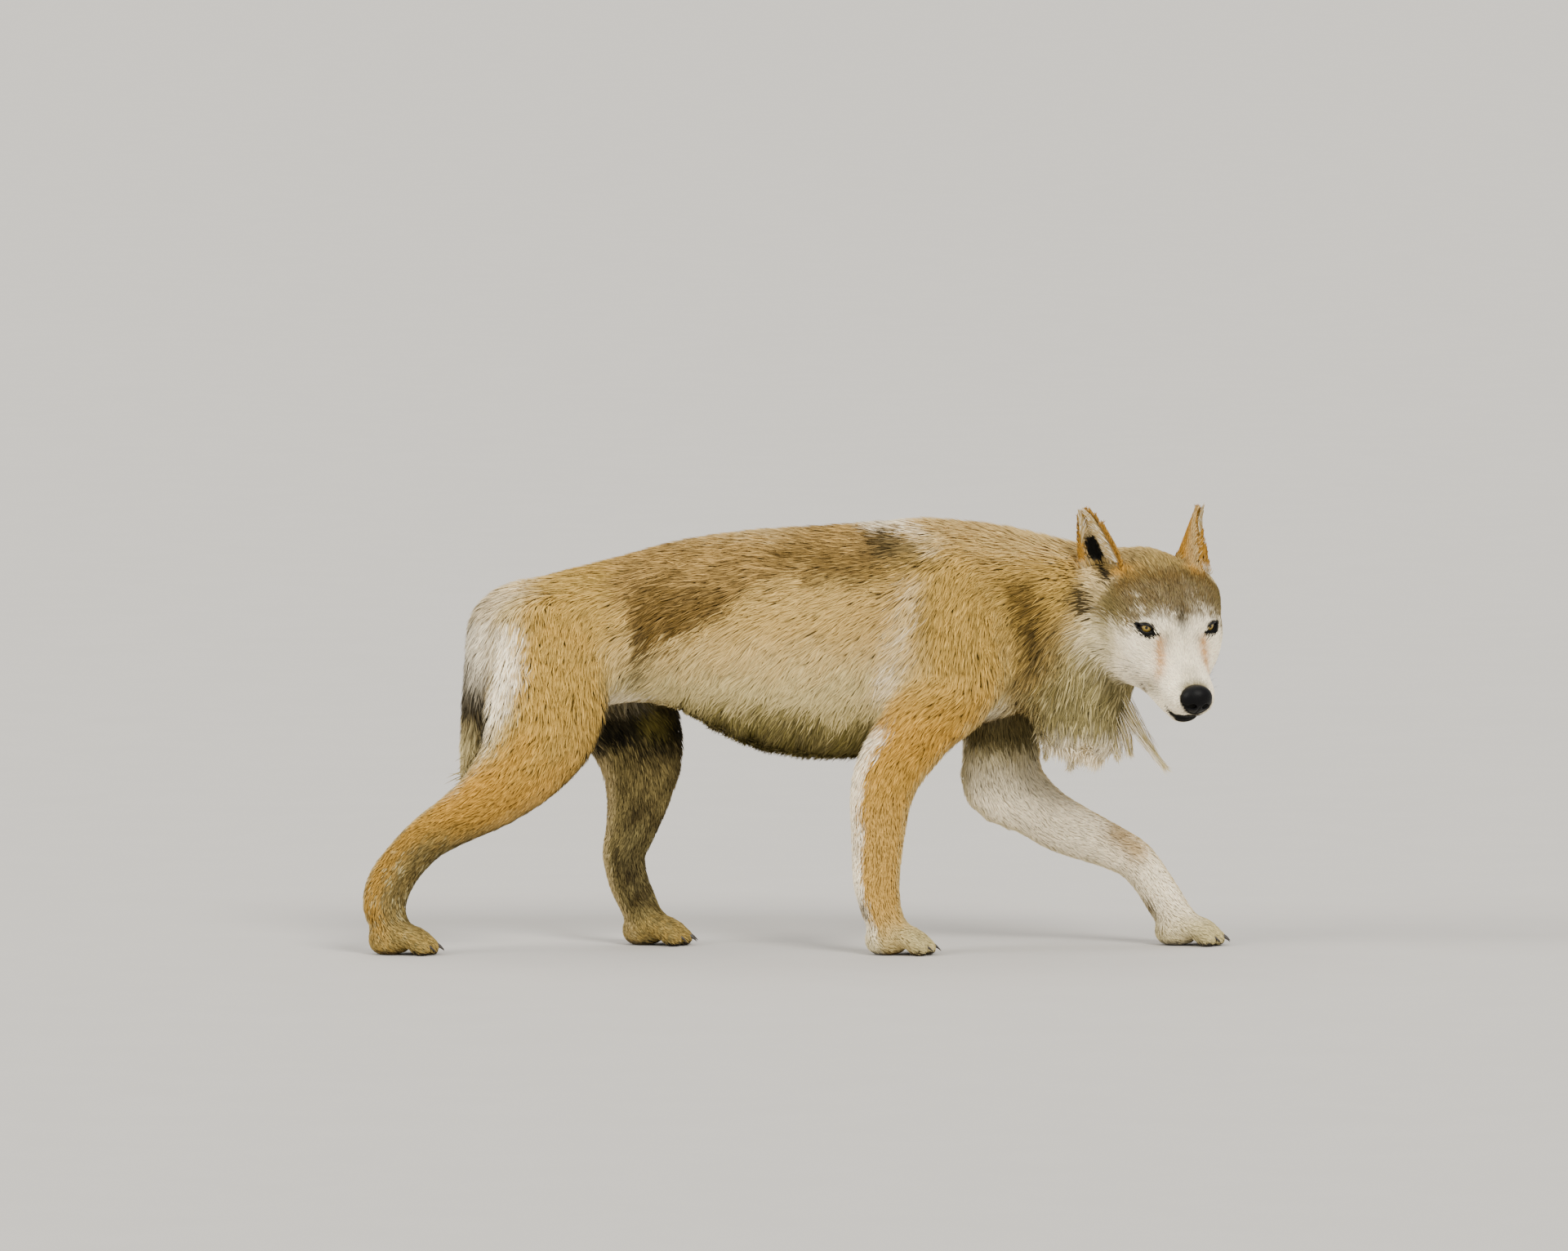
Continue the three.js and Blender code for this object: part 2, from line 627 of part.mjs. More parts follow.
const NOSE_FACES = [12, 8]; // faces round and from pole to pole
const BALL_FACES = [10, 7];

function ball({ at, radii }, across, down, more = 0) {
  const sphere = new THREE.SphereGeometry(1, across, down);
  sphere.scale(...radii.map((r) => r + more)).translate(...at);
  return solidOf(sphere, headPlace.matrix);
}

// The opening of the lids: a lens in front of the eye, across its gaze.
function lids(eye) {
  const side = Math.sign(eye[1]);
  const gaze = new THREE.Vector3(GAZE[0], GAZE[1] * side, GAZE[2]).normalize();
  const left = new THREE.Vector3(-gaze.y, gaze.x, 0).normalize();
  const { matrix } = frameOf(new THREE.Vector3(...eye).addScaledVector(gaze, LID_AT), gaze, left);
  const lens = new THREE.SphereGeometry(1, ...BALL_FACES);
  lens.scale(...LID_RADII).applyMatrix4(matrix);
  return solidOf(lens, headPlace.matrix);
}

// ---------------------------------------------------------------- nodes
const COLOURS = { coat: 0xa98f68, pale: 0xcbbfa6, dark: 0x15130f, amber: 0x8a6a24 };
const wolf = new THREE.Group();

function geometryOf(solid) {
  const mesh = solid.getMesh();
  const geometry = new THREE.BufferGeometry();
  geometry.setAttribute("position", new THREE.Float32BufferAttribute(mesh.vertProperties, 3));
  geometry.setIndex(new THREE.BufferAttribute(mesh.triVerts, 1));
  geometry.computeVertexNormals();
  return geometry;
}

function node(name, solid, colour, roughness) {
  const material = new THREE.MeshStandardMaterial({ color: colour, roughness, metalness: 0 });
  const made = new THREE.Mesh(geometryOf(solid), material);
  made.name = name;
  wolf.add(made);
}

const eyes = {
  eye_left: { at: EYE_AT, radii: [EYE_RADIUS, EYE_RADIUS, EYE_RADIUS] },
  eye_right: mirrored({ at: EYE_AT, radii: [EYE_RADIUS, EYE_RADIUS, EYE_RADIUS] }),
};
const flesh = Object.fromEntries(Object.entries(FLESH).map(([name, part]) => [name, fleshSolid(part)]));

for (const lock of LOCKS.map(lockSolid)) {
  flesh.neck = flesh.neck.add(lock);
  flesh.chest = largest(flesh.chest.subtract(grown(lock)));
}
flesh.tail = solidOf(facesOf(fields.tail, TAIL_GRID.lo, TAIL_GRID.hi, TAIL_GRID.cell));
for (const name of ["hindquarters", "hindleg_right", "hindleg_left"])
  flesh.tail = largest(flesh.tail.subtract(grown(flesh[name])));
flesh.head = largest(flesh.head.subtract(ball(NOSE, ...NOSE_FACES, GAP)));
for (const eye of Object.values(eyes))
  flesh.head = flesh.head.subtract(ball(eye, ...BALL_FACES, GAP)).subtract(lids(eye.at));
const roomy = grown(flesh.head);
for (const [side, shape] of Object.entries(EARS))
  flesh[`ear_${side}`] = largest(earSolid(shape).subtract(roomy).subtract(grown(flesh.neck)));

for (const [name, solid] of Object.entries(flesh)) {
  const pale = name.startsWith("forepaw") || name === "head";
  node(name, solid, pale ? COLOURS.pale : COLOURS.coat, 0.9);
}
node("nose", ball(NOSE, ...NOSE_FACES), COLOURS.dark, 0.45);
for (const [name, shape] of Object.entries(eyes)) node(name, ball(shape, ...BALL_FACES), COLOURS.amber, 0.15);
for (const [name, { paw }] of Object.entries(FLESH))
  if (paw) clawsOf(paw).forEach((claw, i) => node(`claw_${name}_${i + 1}`, claw, COLOURS.dark, 0.4));

wolf.position.set(-CENTRE[0], -CENTRE[1], 0);

export default wolf;
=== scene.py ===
import math

import bpy
import numpy as np
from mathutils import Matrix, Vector


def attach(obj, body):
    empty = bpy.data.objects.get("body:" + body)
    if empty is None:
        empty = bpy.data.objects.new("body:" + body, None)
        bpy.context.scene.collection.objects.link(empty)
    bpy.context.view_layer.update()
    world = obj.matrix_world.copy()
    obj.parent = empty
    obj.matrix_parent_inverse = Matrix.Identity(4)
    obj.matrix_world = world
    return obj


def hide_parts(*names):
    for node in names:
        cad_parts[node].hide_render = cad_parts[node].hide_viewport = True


# A grey wolf, life size, still in mid-step. One skin covers the whole body, and tufts of coat lie over it.
# Shapes are worked out in millimetres in the body's own axes: forward, left, up. The soles stand at nought.

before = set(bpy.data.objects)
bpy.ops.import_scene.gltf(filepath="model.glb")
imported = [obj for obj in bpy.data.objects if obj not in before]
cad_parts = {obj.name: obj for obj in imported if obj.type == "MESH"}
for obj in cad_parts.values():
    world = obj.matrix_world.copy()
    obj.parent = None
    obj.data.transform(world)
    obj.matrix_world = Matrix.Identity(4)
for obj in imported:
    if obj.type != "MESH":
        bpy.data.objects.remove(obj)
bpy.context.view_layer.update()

bl_info = {
    "name": "Grey wolf, life size",
    "version": (1, 0, 0),
    "blender": (4, 5, 0),
    "location": "View3D > Sidebar > Wolf",
    "description": "Builds the skin, coat, eyes, nose, claws and whiskers of a walking grey wolf",
    "category": "Add Mesh",
}

# ---------------------------------------------------------------- driving sizes, in millimetres
CENTRE = np.array([9.45, -43.4, 0.0])
EYE_RADIUS = 14.0
EYE_AT = (47, 50, 33)
GAZE = (0.83, 0.47, 0.3)
HEAD_AT = (578, -75, 519)
HEAD_PITCH = 35
HEAD_YAW = 22

# [x, y, z, half width to the side, half depth to the fore (or up), half depth aft (or down), keel]
TRUNK = [
    [-455, 0, 498, 50, 60, 70, 0],
    [-400, 0, 492, 84, 90, 102, 0],
    [-330, 0, 496, 98, 106, 114, 0.1],
    [-240, 0, 512, 98, 113, 124, 0.15],
    [-150, 0, 520, 104, 130, 150, 0.2],
    [-50, 0, 512, 116, 152, 191, 0.25],
    [50, 0, 505, 124, 164, 204, 0.3],
    [140, 0, 505, 122, 170, 196, 0.35],
    [230, 0, 508, 112, 164, 168, 0.35],
    [310, 0, 512, 98, 146, 150, 0.3],
    [370, 0, 510, 78, 122, 125, 0.2],
]
NECK = [
    [230, 0, 545, 100, 112, 130, 0.2],
    [320, 2, 550, 96, 104, 130, 0.2],
    [410, 4, 552, 92, 92, 118, 0.2],
    [490, 2, 553, 88, 84, 104, 0.1],
    [545, -8, 556, 80, 74, 90, 0],
]
TAIL = [
    [-426, 0, 548, 30, 34, 34, 0],
    [-460, 4, 522, 36, 36, 36, 0],
    [-480, 10, 470, 42, 34, 32, 0],
    [-486, 16, 400, 47, 34, 34, 0],
    [-492, 18, 344, 41, 30, 30, 0],
    [-503, 18, 296, 26, 21, 21, 0],
    [-512, 18, 262, 8, 8, 8, 0],
]
LEGS = {
    "foreleg_right": [
        [240, -74, 590, 34, 60, 60, 0],
        [262, -86, 500, 42, 72, 72, 0],
        [268, -90, 430, 44, 66, 78, 0],
        [205, -92, 366, 44, 62, 62, 0],
        [158, -92, 300, 40, 54, 56, 0],
        [142, -90, 250, 35, 47, 52, 0],
        [137, -88, 200, 31, 42, 46, 0],
        [134, -88, 150, 29, 38, 41, 0],
        [133, -88, 112, 29, 36, 38, 0],
        [139, -88, 72, 28, 32, 32, 0],
        [150, -88, 42, 29, 30, 30, 0],
    ],
    "foreleg_left": [
        [240, 74, 590, 34, 60, 60, 0],
        [272, 86, 500, 42, 72, 70, 0],
        [312, 88, 420, 46, 66, 70, 0],
        [326, 86, 330, 44, 66, 58, 0],
        [344, 84, 262, 40, 52, 78, 0],
        [388, 82, 213, 35, 46, 48, 0],
        [431, 80, 186, 32, 44, 44, 0],
        [500, 80, 156, 29, 36, 36, 0],
        [540, 80, 134, 28, 33, 33, 0],
        [568, 80, 100, 27, 30, 31, 0],
        [590, 80, 66, 28, 30, 31, 0],
        [606, 80, 42, 29, 28, 28, 0],
    ],
    "hindleg_right": [
        [-392, -62, 520, 44, 92, 70, 0],
        [-385, -80, 430, 52, 100, 92, 0],
        [-392, -88, 365, 50, 96, 95, 0],
        [-425, -90, 300, 44, 74, 72, 0],
        [-470, -89, 250, 37, 54, 54, 0],
        [-520, -88, 216, 31, 42, 42, 0],
        [-568, -86, 185, 27, 36, 36, 0],
        [-603, -85, 150, 26, 34, 35, 0],
        [-630, -84, 112, 26, 36, 36, 0],
        [-639, -84, 76, 27, 34, 34, 0],
        [-630, -84, 44, 29, 29, 29, 0],
    ],
    "hindleg_left": [
        [-392, 62, 520, 44, 92, 70, 0],
        [-330, 80, 430, 52, 100, 95, 0],
        [-264, 86, 366, 48, 84, 84, 0],
        [-238, 87, 302, 42, 68, 70, 0],
        [-240, 87, 237, 35, 50, 54, 0],
        [-253, 86, 179, 28, 38, 42, 0],
        [-264, 86, 142, 26, 33, 36, 0],
        [-257, 86, 100, 26, 31, 33, 0],
        [-243, 86, 66, 27, 30, 31, 0],
        [-232, 86, 42, 29, 28, 28, 0],
    ],
}
PAWS = {
    "foreleg_right": ((152, -88, 0), 4),
    "foreleg_left": ((610, 80, 0), -3),
    "hindleg_right": ((-626, -84, 0), 2),
    "hindleg_left": ((-230, 86, 0), -4),
}
RUFF = [
    [500, -30, 470, 52, 62, 104, 0],
    [474, -28, 400, 46, 58, 106, 0],
    [458, -26, 344, 34, 60, 84, 0],
]
LOCKS = [
    [[441, -22, 352, 20], [439, -22, 314, 12], [437, -22, 282, 3]],
    [[406, -12, 356, 18], [401, -12, 322, 10], [398, -12, 298, 3]],
    [[458, -24, 352, 18], [457, -25, 322, 11], [455, -26, 295, 3]],
    [[478, -30, 352, 20], [483, -31, 322, 12], [484, -32, 300, 3]],
    [[496, -32, 372, 22], [506, -33, 330, 13], [512, -34, 300, 3]],
    [[504, -34, 392, 22], [522, -35, 342, 14], [531, -36, 306, 3]],
    [[504, -34, 420, 24], [534, -36, 364, 17], [562, -38, 318, 9], [590, -40, 283, 2]],
]
# In the head's axes: forward, left, up.
MUZZLE = [
    [30, 0, 0, 50, 38, 44, 0],
    [70, 0, -8, 46, 33, 40, 0],
    [110, 0, -16, 43, 30, 36, 0],
    [146, 0, -22, 42, 30, 32, 0],
    [162, 0, -24, 36, 28, 26, 0],
]
JAW = [
    [-20, 0, -52, 48, 30, 34, 0],
    [50, 0, -60, 44, 24, 30, 0],
    [110, 0, -64, 33, 18, 20, 0],
    [148, 0, -61, 23, 15, 15, 0],
]
SKULL = [((-42, 0, 20), (86, 78, 57)), ((14, 0, 22), (62, 64, 44))]
CHEEKS = [
    ((-14, 62, 2), (62, 34, 46)),
    ((-38, 66, 26), (44, 34, 34)),
    ((-52, 66, -42), (58, 44, 62)),
    ((30, 56, -8), (46, 26, 34)),
    ((60, 40, -24), (42, 26, 28)),
    ((20, 48, -50), (52, 32, 36)),
]
SWELLINGS = [(56, 52, 32, 34, 9.5), (-20, 30, 60, 40, 2)]
EARS = {
    "right": {
        "at": (-85, -72, 42), "tip": (-45, -49, 82), "opening": (0.62, -0.7, 0.1), "length": 106, "cup": 25
    },
    "left": {
        "at": (-85, 62, 42), "tip": (-45, 33, 80), "opening": (0.5, 0.82, 0.25), "length": 97, "cup": 50
    },
}
EAR_HALF_WIDTH = 40
EAR_WAIST = 1.3
EAR_WALL = 7.5
NOSE = ((174, 0, -13), (19, 26, 24))
LIP = [(78, 50, -58), (105, 46, -58), (128, 38, -58), (150, 29, -58), (163, 15, -57), (168, 0, -56)]
# Half the width and height of the open lids.
LID_ACROSS, LID_UP = 14.6, 6.6
PALM = ((-4, 0, 20), (34, 33, 24))
TOES = (-29, -10.5, 10.5, 29)


# ---------------------------------------------------------------- the shape of the body
FAR = 1000.0


def unit(v):
    v = np.asarray(v, float)
    return v / np.maximum(np.linalg.norm(v, axis=-1, keepdims=True), 1e-9)


def ramp(lo, hi, v):
    """0 up to lo, 1 from hi on, with a soft rise between. With lo over hi it falls instead."""
    t = np.clip((v - lo) / (hi - lo), 0, 1)
    return t * t * (3 - 2 * t)


def bump(v, middle, reach):
    """1 at the middle, fading to 0 past the reach on both sides."""
    return np.exp(-(((v - middle) / reach) ** 2))


def refine(stations, steps=3):
    """Stations between each two, along a Catmull-Rom curve."""
    p = np.asarray(stations, float)
    made = []
    last = len(p) - 1
    for i in range(last):
        a, b, c, d = (p[min(max(k, 0), last)] for k in (i - 1, i, i + 1, i + 2))
        for s in range(steps):
            t = s / steps
            bend = 2 * a - 5 * b + 4 * c - d
            twist = -a + 3 * b - 3 * c + d
            made.append(0.5 * (2 * b + (c - a) * t + bend * t * t + twist * t**3))
    return np.array(made + [p[-1]])


def ellipsoid(x, y, z, a, b, c):
    """Distance to an ellipsoid, close to true near its surface."""
    k = np.sqrt((x / a) ** 2 + (y / b) ** 2 + (z / c) ** 2)
    slope = np.sqrt((x / (a * a)) ** 2 + (y / (b * b)) ** 2 + (z / (c * c)) ** 2)
    inside = -np.minimum(np.minimum(a, b), c)
    return np.where(slope < 1e-6, inside, k * (k - 1) / np.maximum(slope, 1e-6))


def soft_join(a, b, k):
    """The nearer of two distances, rounded over a width of k where they are alike."""
    h = np.maximum(k - np.abs(a - b), 0) / k
    return np.minimum(a, b) - h * h * k / 4


class Axes:
    """A place with its own forward, left and up."""

    def __init__(self, at, forward, left):
        up = np.cross(forward, left)
        self.at = np.asarray(at, float)
        self.turn = np.array([unit(forward), unit(left), unit(up)])

    def inward(self, p):
        return (p - self.at) @ self.turn.T

    def outward(self, q):
        return q @ self.turn + self.at


def head_axes():
    p, y = math.radians(HEAD_PITCH), math.radians(HEAD_YAW)
    forward = (math.cos(p) * math.sin(y), -math.cos(p) * math.cos(y), -math.sin(p))
    return Axes(HEAD_AT, forward, (math.cos(y), math.sin(y), 0))


def paw_axes(at, yaw):
    y = math.radians(yaw)
    return Axes(at, (math.cos(y), math.sin(y), 0), (-math.sin(y), math.cos(y), 0))


class Row:
    """A row of stations as a body part."""

    def __init__(self, stations, steps=3):
        self.pins = refine(stations, steps)
        a, b = self.pins[:-1], self.pins[1:]
        axis = b[:, :3] - a[:, :3]
        self.length = np.linalg.norm(axis, axis=1)
        self.axis = axis / self.length[:, None]
        side = np.array([0.0, 1.0, 0.0]) - self.axis * self.axis[:, 1:2]
        self.side = unit(side)
        self.fore = np.cross(self.axis, self.side)
        reach = self.pins[:, 3:6].max(axis=1)[:, None]
        self.lo = (self.pins[:, :3] - reach).min(axis=0)
        self.hi = (self.pins[:, :3] + reach).max(axis=0)

    def bone(self, i, p):
        a, b = self.pins[i], self.pins[i + 1]
        d = p - a[:3]
        along = d @ self.axis[i]
        t = np.clip(along / self.length[i], 0, 1)
        s = d @ self.side[i]
        f = d @ self.fore[i]
        width = a[3] + (b[3] - a[3]) * t
        depth = np.where(f > 0, a[4] + (b[4] - a[4]) * t, a[5] + (b[5] - a[5]) * t)
        keel = np.where(f > 0, 0, a[6] + (b[6] - a[6]) * t)
        narrow = width * (1 - keel * np.minimum(-f / depth, 1) ** 2)
        past = along - t * self.length[i]
        value = ellipsoid(s, f, past, narrow, depth, np.minimum(width, depth))
        return value, t, s / narrow, f / depth

    def distance(self, p):
        value = np.full(len(p), FAR)
        for i in range(len(self.length)):
            value = np.minimum(value, self.bone(i, p)[0])
        return value

    def locate(self, p):
        """Distance, share along, side and fore, and the way along, of the nearest stretch."""
        value = np.full(len(p), FAR)
        place = np.zeros((len(p), 3))
        way = np.zeros((len(p), 3))
        for i in range(len(self.length)):
            v, t, s, f = self.bone(i, p)
            closer = v < value
            value = np.where(closer, v, value)
            place[closer] = np.stack([(i + t) / len(self.length), s, f], axis=1)[closer]
            way[closer] = self.axis[i]
        return value, place, way


class Blob:
    """An ellipsoid from its centre and its three radii."""

    def __init__(self, at, radii):
        self.at, self.radii = np.array(at, float), np.array(radii, float)
        self.lo, self.hi = self.at - self.radii, self.at + self.radii

    def distance(self, p):
        x, y, z = (p - self.at).T
        return ellipsoid(x, y, z, *self.radii)


def away_from(shape, p):
    """How far each point lies outside the box round a shape, and below 0 inside it."""
    return np.maximum(shape.lo - p, p - shape.hi).max(axis=1)


class Joined:
    """Shapes softly joined in turn. Far from a shape its box stands in for it."""

    def __init__(self, parts, swellings=()):
        self.parts, self.swellings = parts, swellings
        self.lo = np.min([s.lo for s, _ in parts], axis=0)
        self.hi = np.max([s.hi for s, _ in parts], axis=0)

    def distance(self, p):
        total = np.full(len(p), FAR)
        for shape, k in self.parts:
            away = away_from(shape, p)
            near = away <= k + 40
            total = np.minimum(total, np.where(near, FAR, away))
            if near.any():
                total[near] = soft_join(total[near], shape.distance(p[near]), k)
        for x, y, z, reach, height in self.swellings:
            q = ((p - (x, y, z)) ** 2).sum(axis=1) / reach**2
            total = total - height * np.exp(-np.minimum(q, 30))
        return total


class Placed:
    """A shape in other axes."""

    def __init__(self, shape, axes):
        self.shape, self.axes = shape, axes
        lo, hi = shape.lo, shape.hi
        corners = np.array(
            [[x, y, z] for x in (lo[0], hi[0]) for y in (lo[1], hi[1]) for z in (lo[2], hi[2])]
        )
        corners = axes.outward(corners)
        self.lo, self.hi = corners.min(axis=0), corners.max(axis=0)

    def distance(self, p):
        return self.shape.distance(self.axes.inward(p))


class Ear:
    """A leaf of even thickness, cupped towards its opening. In the head's axes."""

    def __init__(self, at, tip, opening, length, cup):
        self.at, self.length, self.cup = np.array(at, float), length, cup
        self.up = unit(tip)
        opening = np.array(opening, float)
        self.open = unit(opening - self.up * (self.up @ opening))
        self.across = np.cross(self.up, self.open)
        tip_at = self.at + self.up * length
        self.lo = np.minimum(self.at, tip_at) - 52
        self.hi = np.maximum(self.at, tip_at) + 52

    def half_width(self, h):
        share = np.clip(h, 0, 1)
        return (
            EAR_HALF_WIDTH * np.sqrt(1 - share**2) * (1 - 0.2 * share)
            * (1 + EAR_WAIST * np.clip(h, -0.5, 0))
        )

    def depth(self, h, u):
        """How far the leaf's middle layer lies towards the opening."""
        return self.cup * ((1 - 0.5 * np.clip(h, 0, 1)) * (u / EAR_HALF_WIDTH) ** 2 - 1 / 3)

    def locate(self, q):
        """Height from root to tip, place across from rim to rim, and height over the middle of the leaf."""
        d = q - self.at
        h, u = d @ self.up / self.length, d @ self.across
        return h, u, np.maximum(self.half_width(h), 1.5), d @ self.open - self.depth(h, u)

    def distance(self, q):
        h, u, half, o = self.locate(q)
        share = np.clip(h, 0, 1)
        wall = EAR_WALL * (1 - 0.35 * share) / 2
        lean = 2 * self.cup * (1 - 0.5 * share) * np.abs(u) / EAR_HALF_WIDTH**2
        flat = (np.abs(o) - wall) / np.sqrt(1 + lean**2)
        edge = (np.abs(u) - half) / np.sqrt(
            1 + np.minimum(share / np.sqrt(np.maximum(1 - share**2, 0.02)), 3) ** 2 * 0.14
        )
        end = np.maximum(h - 1, -0.35 - h) * self.length
        r = 1.6
        outer = np.maximum(edge, end)
        corner = np.hypot(np.maximum(flat + r, 0), np.maximum(outer + r, 0)) - r
        return corner + np.minimum(np.maximum(flat, outer) + r, 0)


HEAD = head_axes()


def mirrored(at):
    return (at[0], -at[1], at[2])


def head_shape():
    parts = [(Blob(at, radii), 30) for at, radii in SKULL]
    for at, radii in CHEEKS:
        parts += [(Blob(at, radii), 26), (Blob(mirrored(at), radii), 26)]
    parts += [(Row(MUZZLE), 24), (Row(JAW), 26)]
    both = [s for x, y, z, r, h in SWELLINGS for s in ((x, y, z, r, h), (x, -y, z, r, h))]
    return Placed(Joined(parts, both), HEAD)


def toe_tip(side):
    """How far forward a toe's last joint lies. The two inner toes are the longer ones."""
    return 60 if abs(side) < 20 else 46


def paw_shape(leg):
    parts = [(Blob(*PALM), 10)]
    for side in TOES:
        toe = [
            [6, side * 0.72, 32, 16, 16, 16, 0],
            [38 if abs(side) < 20 else 26, side * 0.95, 27, 15, 15, 15, 0],
            [toe_tip(side), side, 11, 13, 13, 16, 0],
        ]
        parts.append((Row(toe), 7))
    return Placed(Joined(parts), paw_axes(*PAWS[leg]))


# name: (shape, width of its join). The order is the order of joining.
PARTS = {"trunk": (Row(TRUNK), 30), "neck": (Row(NECK), 60)}
for leg, stations in LEGS.items():
    PARTS[leg] = (Row(stations), 36)
    PARTS["paw_" + leg] = (paw_shape(leg), 16)
PARTS["head"] = (head_shape(), 40)
PARTS["ruff"] = (Row(RUFF), 40)
PARTS["tail"] = (Row(TAIL), 22)
NAMES = list(PARTS)
LEG_NAMES = list(LEGS)
EAR_SHAPES = {side: Ear(**ear) for side, ear in EARS.items()}
# The sign of each side along the left axis.
SIGNS = {"left": 1, "right": -1}
EYES = {side: np.array(EYE_AT, float) * (1, sign, 1) for side, sign in SIGNS.items()}
GAZES = {side: unit(np.array(GAZE) * (1, sign, 1)) for side, sign in SIGNS.items()}


def distances(p):
    """The distance to each part, one column each."""
    made = np.empty((len(p), len(NAMES)))
    for i, name in enumerate(NAMES):
        shape, k = PARTS[name]
        away = away_from(shape, p)
        near = away <= k + 40
        made[:, i] = np.where(near, FAR, away + 10)
        if near.any():
            made[near, i] = shape.distance(p[near])
    return made


def outer(d):
    """The coat's outer surface, from the distances to the parts."""
    total = np.full(len(d), FAR)
    for i, name in enumerate(NAMES):
        total = soft_join(total, d[:, i], PARTS[name][1])
    return total


def shares(d, width=14.0):
    """How much each part has of each point. They add up to one."""
    w = np.exp(-(d - d.min(axis=1, keepdims=True)) / width)
    return w / w.sum(axis=1, keepdims=True)


def share_of(w, *names):
    return sum(w[:, NAMES.index(n)] for n in names)


def coat_depth(p, d):
    """How deep the skin lies under the tips of the coat, in millimetres."""
    w = shares(d)
    q = HEAD.inward(p)
    leg = 3.2 + 9 * ramp(190, 420, p[:, 2])
    belly = 5 * ramp(420, 340, p[:, 2]) * ramp(-330, -250, p[:, 0]) * ramp(330, 200, p[:, 0])
    face = 1.2 + 2.6 * ramp(70, -10, q[:, 0]) + 9 * ramp(10, -50, q[:, 0]) * ramp(20, -30, q[:, 2])
    depth = share_of(w, "trunk") * (11 + belly) + share_of(w, "neck") * 14 + share_of(w, "ruff") * 15
    depth += share_of(w, "tail") * 12 + share_of(w, *LEG_NAMES) * leg + share_of(w, "head") * face
    return depth + share_of(w, *("paw_" + n for n in LEG_NAMES)) * 1.4


def lid_axes(side):
    """The gaze of one eye, and the ways to the left and up across its lids."""
    gaze = GAZES[side]
    left = unit((-gaze[1], gaze[0], 0))
    return gaze, left, np.cross(gaze, left)


def lid_distance(q, side):
    """Distance from the almond of the open lids, and how far out along the gaze a point lies."""
    gaze, left, over = lid_axes(side)
    d = q - EYES[side]
    a, b, out = d @ left, d @ over, d @ gaze
    lens = np.abs(b) / LID_UP + (a / LID_ACROSS) ** 2
    return (lens - 1) * LID_UP * 0.8, out


def lip_distance(q):
    """Distance from the line of the lips, the same on both sides."""
    m = np.stack([q[:, 0], np.abs(q[:, 1]), q[:, 2]], axis=1)
    best = np.full(len(q), FAR)
    pins = np.array(LIP, float)
    for a, b in zip(pins[:-1], pins[1:]):
        t = np.clip(((m - a) @ (b - a)) / ((b - a) @ (b - a)), 0, 1)
        best = np.minimum(best, np.linalg.norm(m - a - t[:, None] * (b - a), axis=1))
    return best


def skin(p):
    """The skin: the coat's outer surface, less its depth, with ears, lids and lips."""
    d = distances(p)
    total = outer(d) + coat_depth(p, d)
    near = d[:, NAMES.index("head")] < 130
    if near.any():
        q = HEAD.inward(p[near])
        v = total[near]
        for ear in EAR_SHAPES.values():
            close = away_from(ear, q) < 10
            v[close] = soft_join(v[close], ear.distance(q[close]), 12)
        for side, eye in EYES.items():
            close = np.linalg.norm(q - eye, axis=1) < 40
            c = q[close]
            r = np.linalg.norm(c - eye, axis=1)
            lens, out = lid_distance(c, side)
            shell = soft_join(v[close], r - EYE_RADIUS - 1.6, 5)
            opening = np.maximum(lens, 4 - out)
            v[close] = np.where(out > 0, np.maximum(shell, -opening), v[close])
        lip = lip_distance(q)
        v = v + 2.6 * bump(lip, 0, 2.2)
        total[near] = v
    return np.maximum(total, 0.6 - p[:, 2])


# ---------------------------------------------------------------- from the shape to faces
def axis_marks(lo, hi, fine_lo, fine_hi, coarse, fine):
    """Grid lines along one axis: fine between two marks, coarse outside them."""
    left = np.arange(fine_lo - coarse, lo - coarse, -coarse)[::-1]
    middle = np.arange(fine_lo, fine_hi, fine)
    right = np.arange(middle[-1] + coarse, hi + coarse, coarse)
    return np.concatenate([left, middle, right])


def near_surface(shape, marks, block=4, slack=1.6):
    """Values at all grid points, exact near the surface and only of the right sign elsewhere."""
    n = [len(m) for m in marks]
    values = np.empty(n, np.float32)
    starts = [np.arange(0, k, block) for k in n]
    centres, reaches = [], []
    for m, s in zip(marks, starts):
        a, b = m[s], m[np.minimum(s + block, len(m) - 1)]
        centres.append((a + b) / 2)
        reaches.append((b - a) / 2)
    gx, gy, gz = np.meshgrid(*centres, indexing="ij")
    rx, ry, rz = np.meshgrid(*reaches, indexing="ij")
    middle = np.stack([gx, gy, gz], axis=-1).reshape(-1, 3)
    reach = np.sqrt(rx**2 + ry**2 + rz**2).ravel()
    at_middle = shape(middle)
    shape_of_blocks = gx.shape
    sign = np.where(at_middle < 0, -1.0, 1.0).reshape(shape_of_blocks)
    for axis in range(3):
        sign = np.repeat(sign, block, axis=axis)
    values[:] = sign[: n[0], : n[1], : n[2]] * 50
    live = (np.abs(at_middle) < reach * slack + 12).reshape(shape_of_blocks)
    for axis in range(3):
        live = np.repeat(live, block, axis=axis)
    live = live[: n[0], : n[1], : n[2]]
    i, j, k = np.nonzero(live)
    points = np.stack([marks[0][i], marks[1][j], marks[2][k]], axis=1)
    found = np.empty(len(points))
    for s in range(0, len(points), 200000):
        found[s : s + 200000] = shape(points[s : s + 200000])
    values[i, j, k] = found
    return values


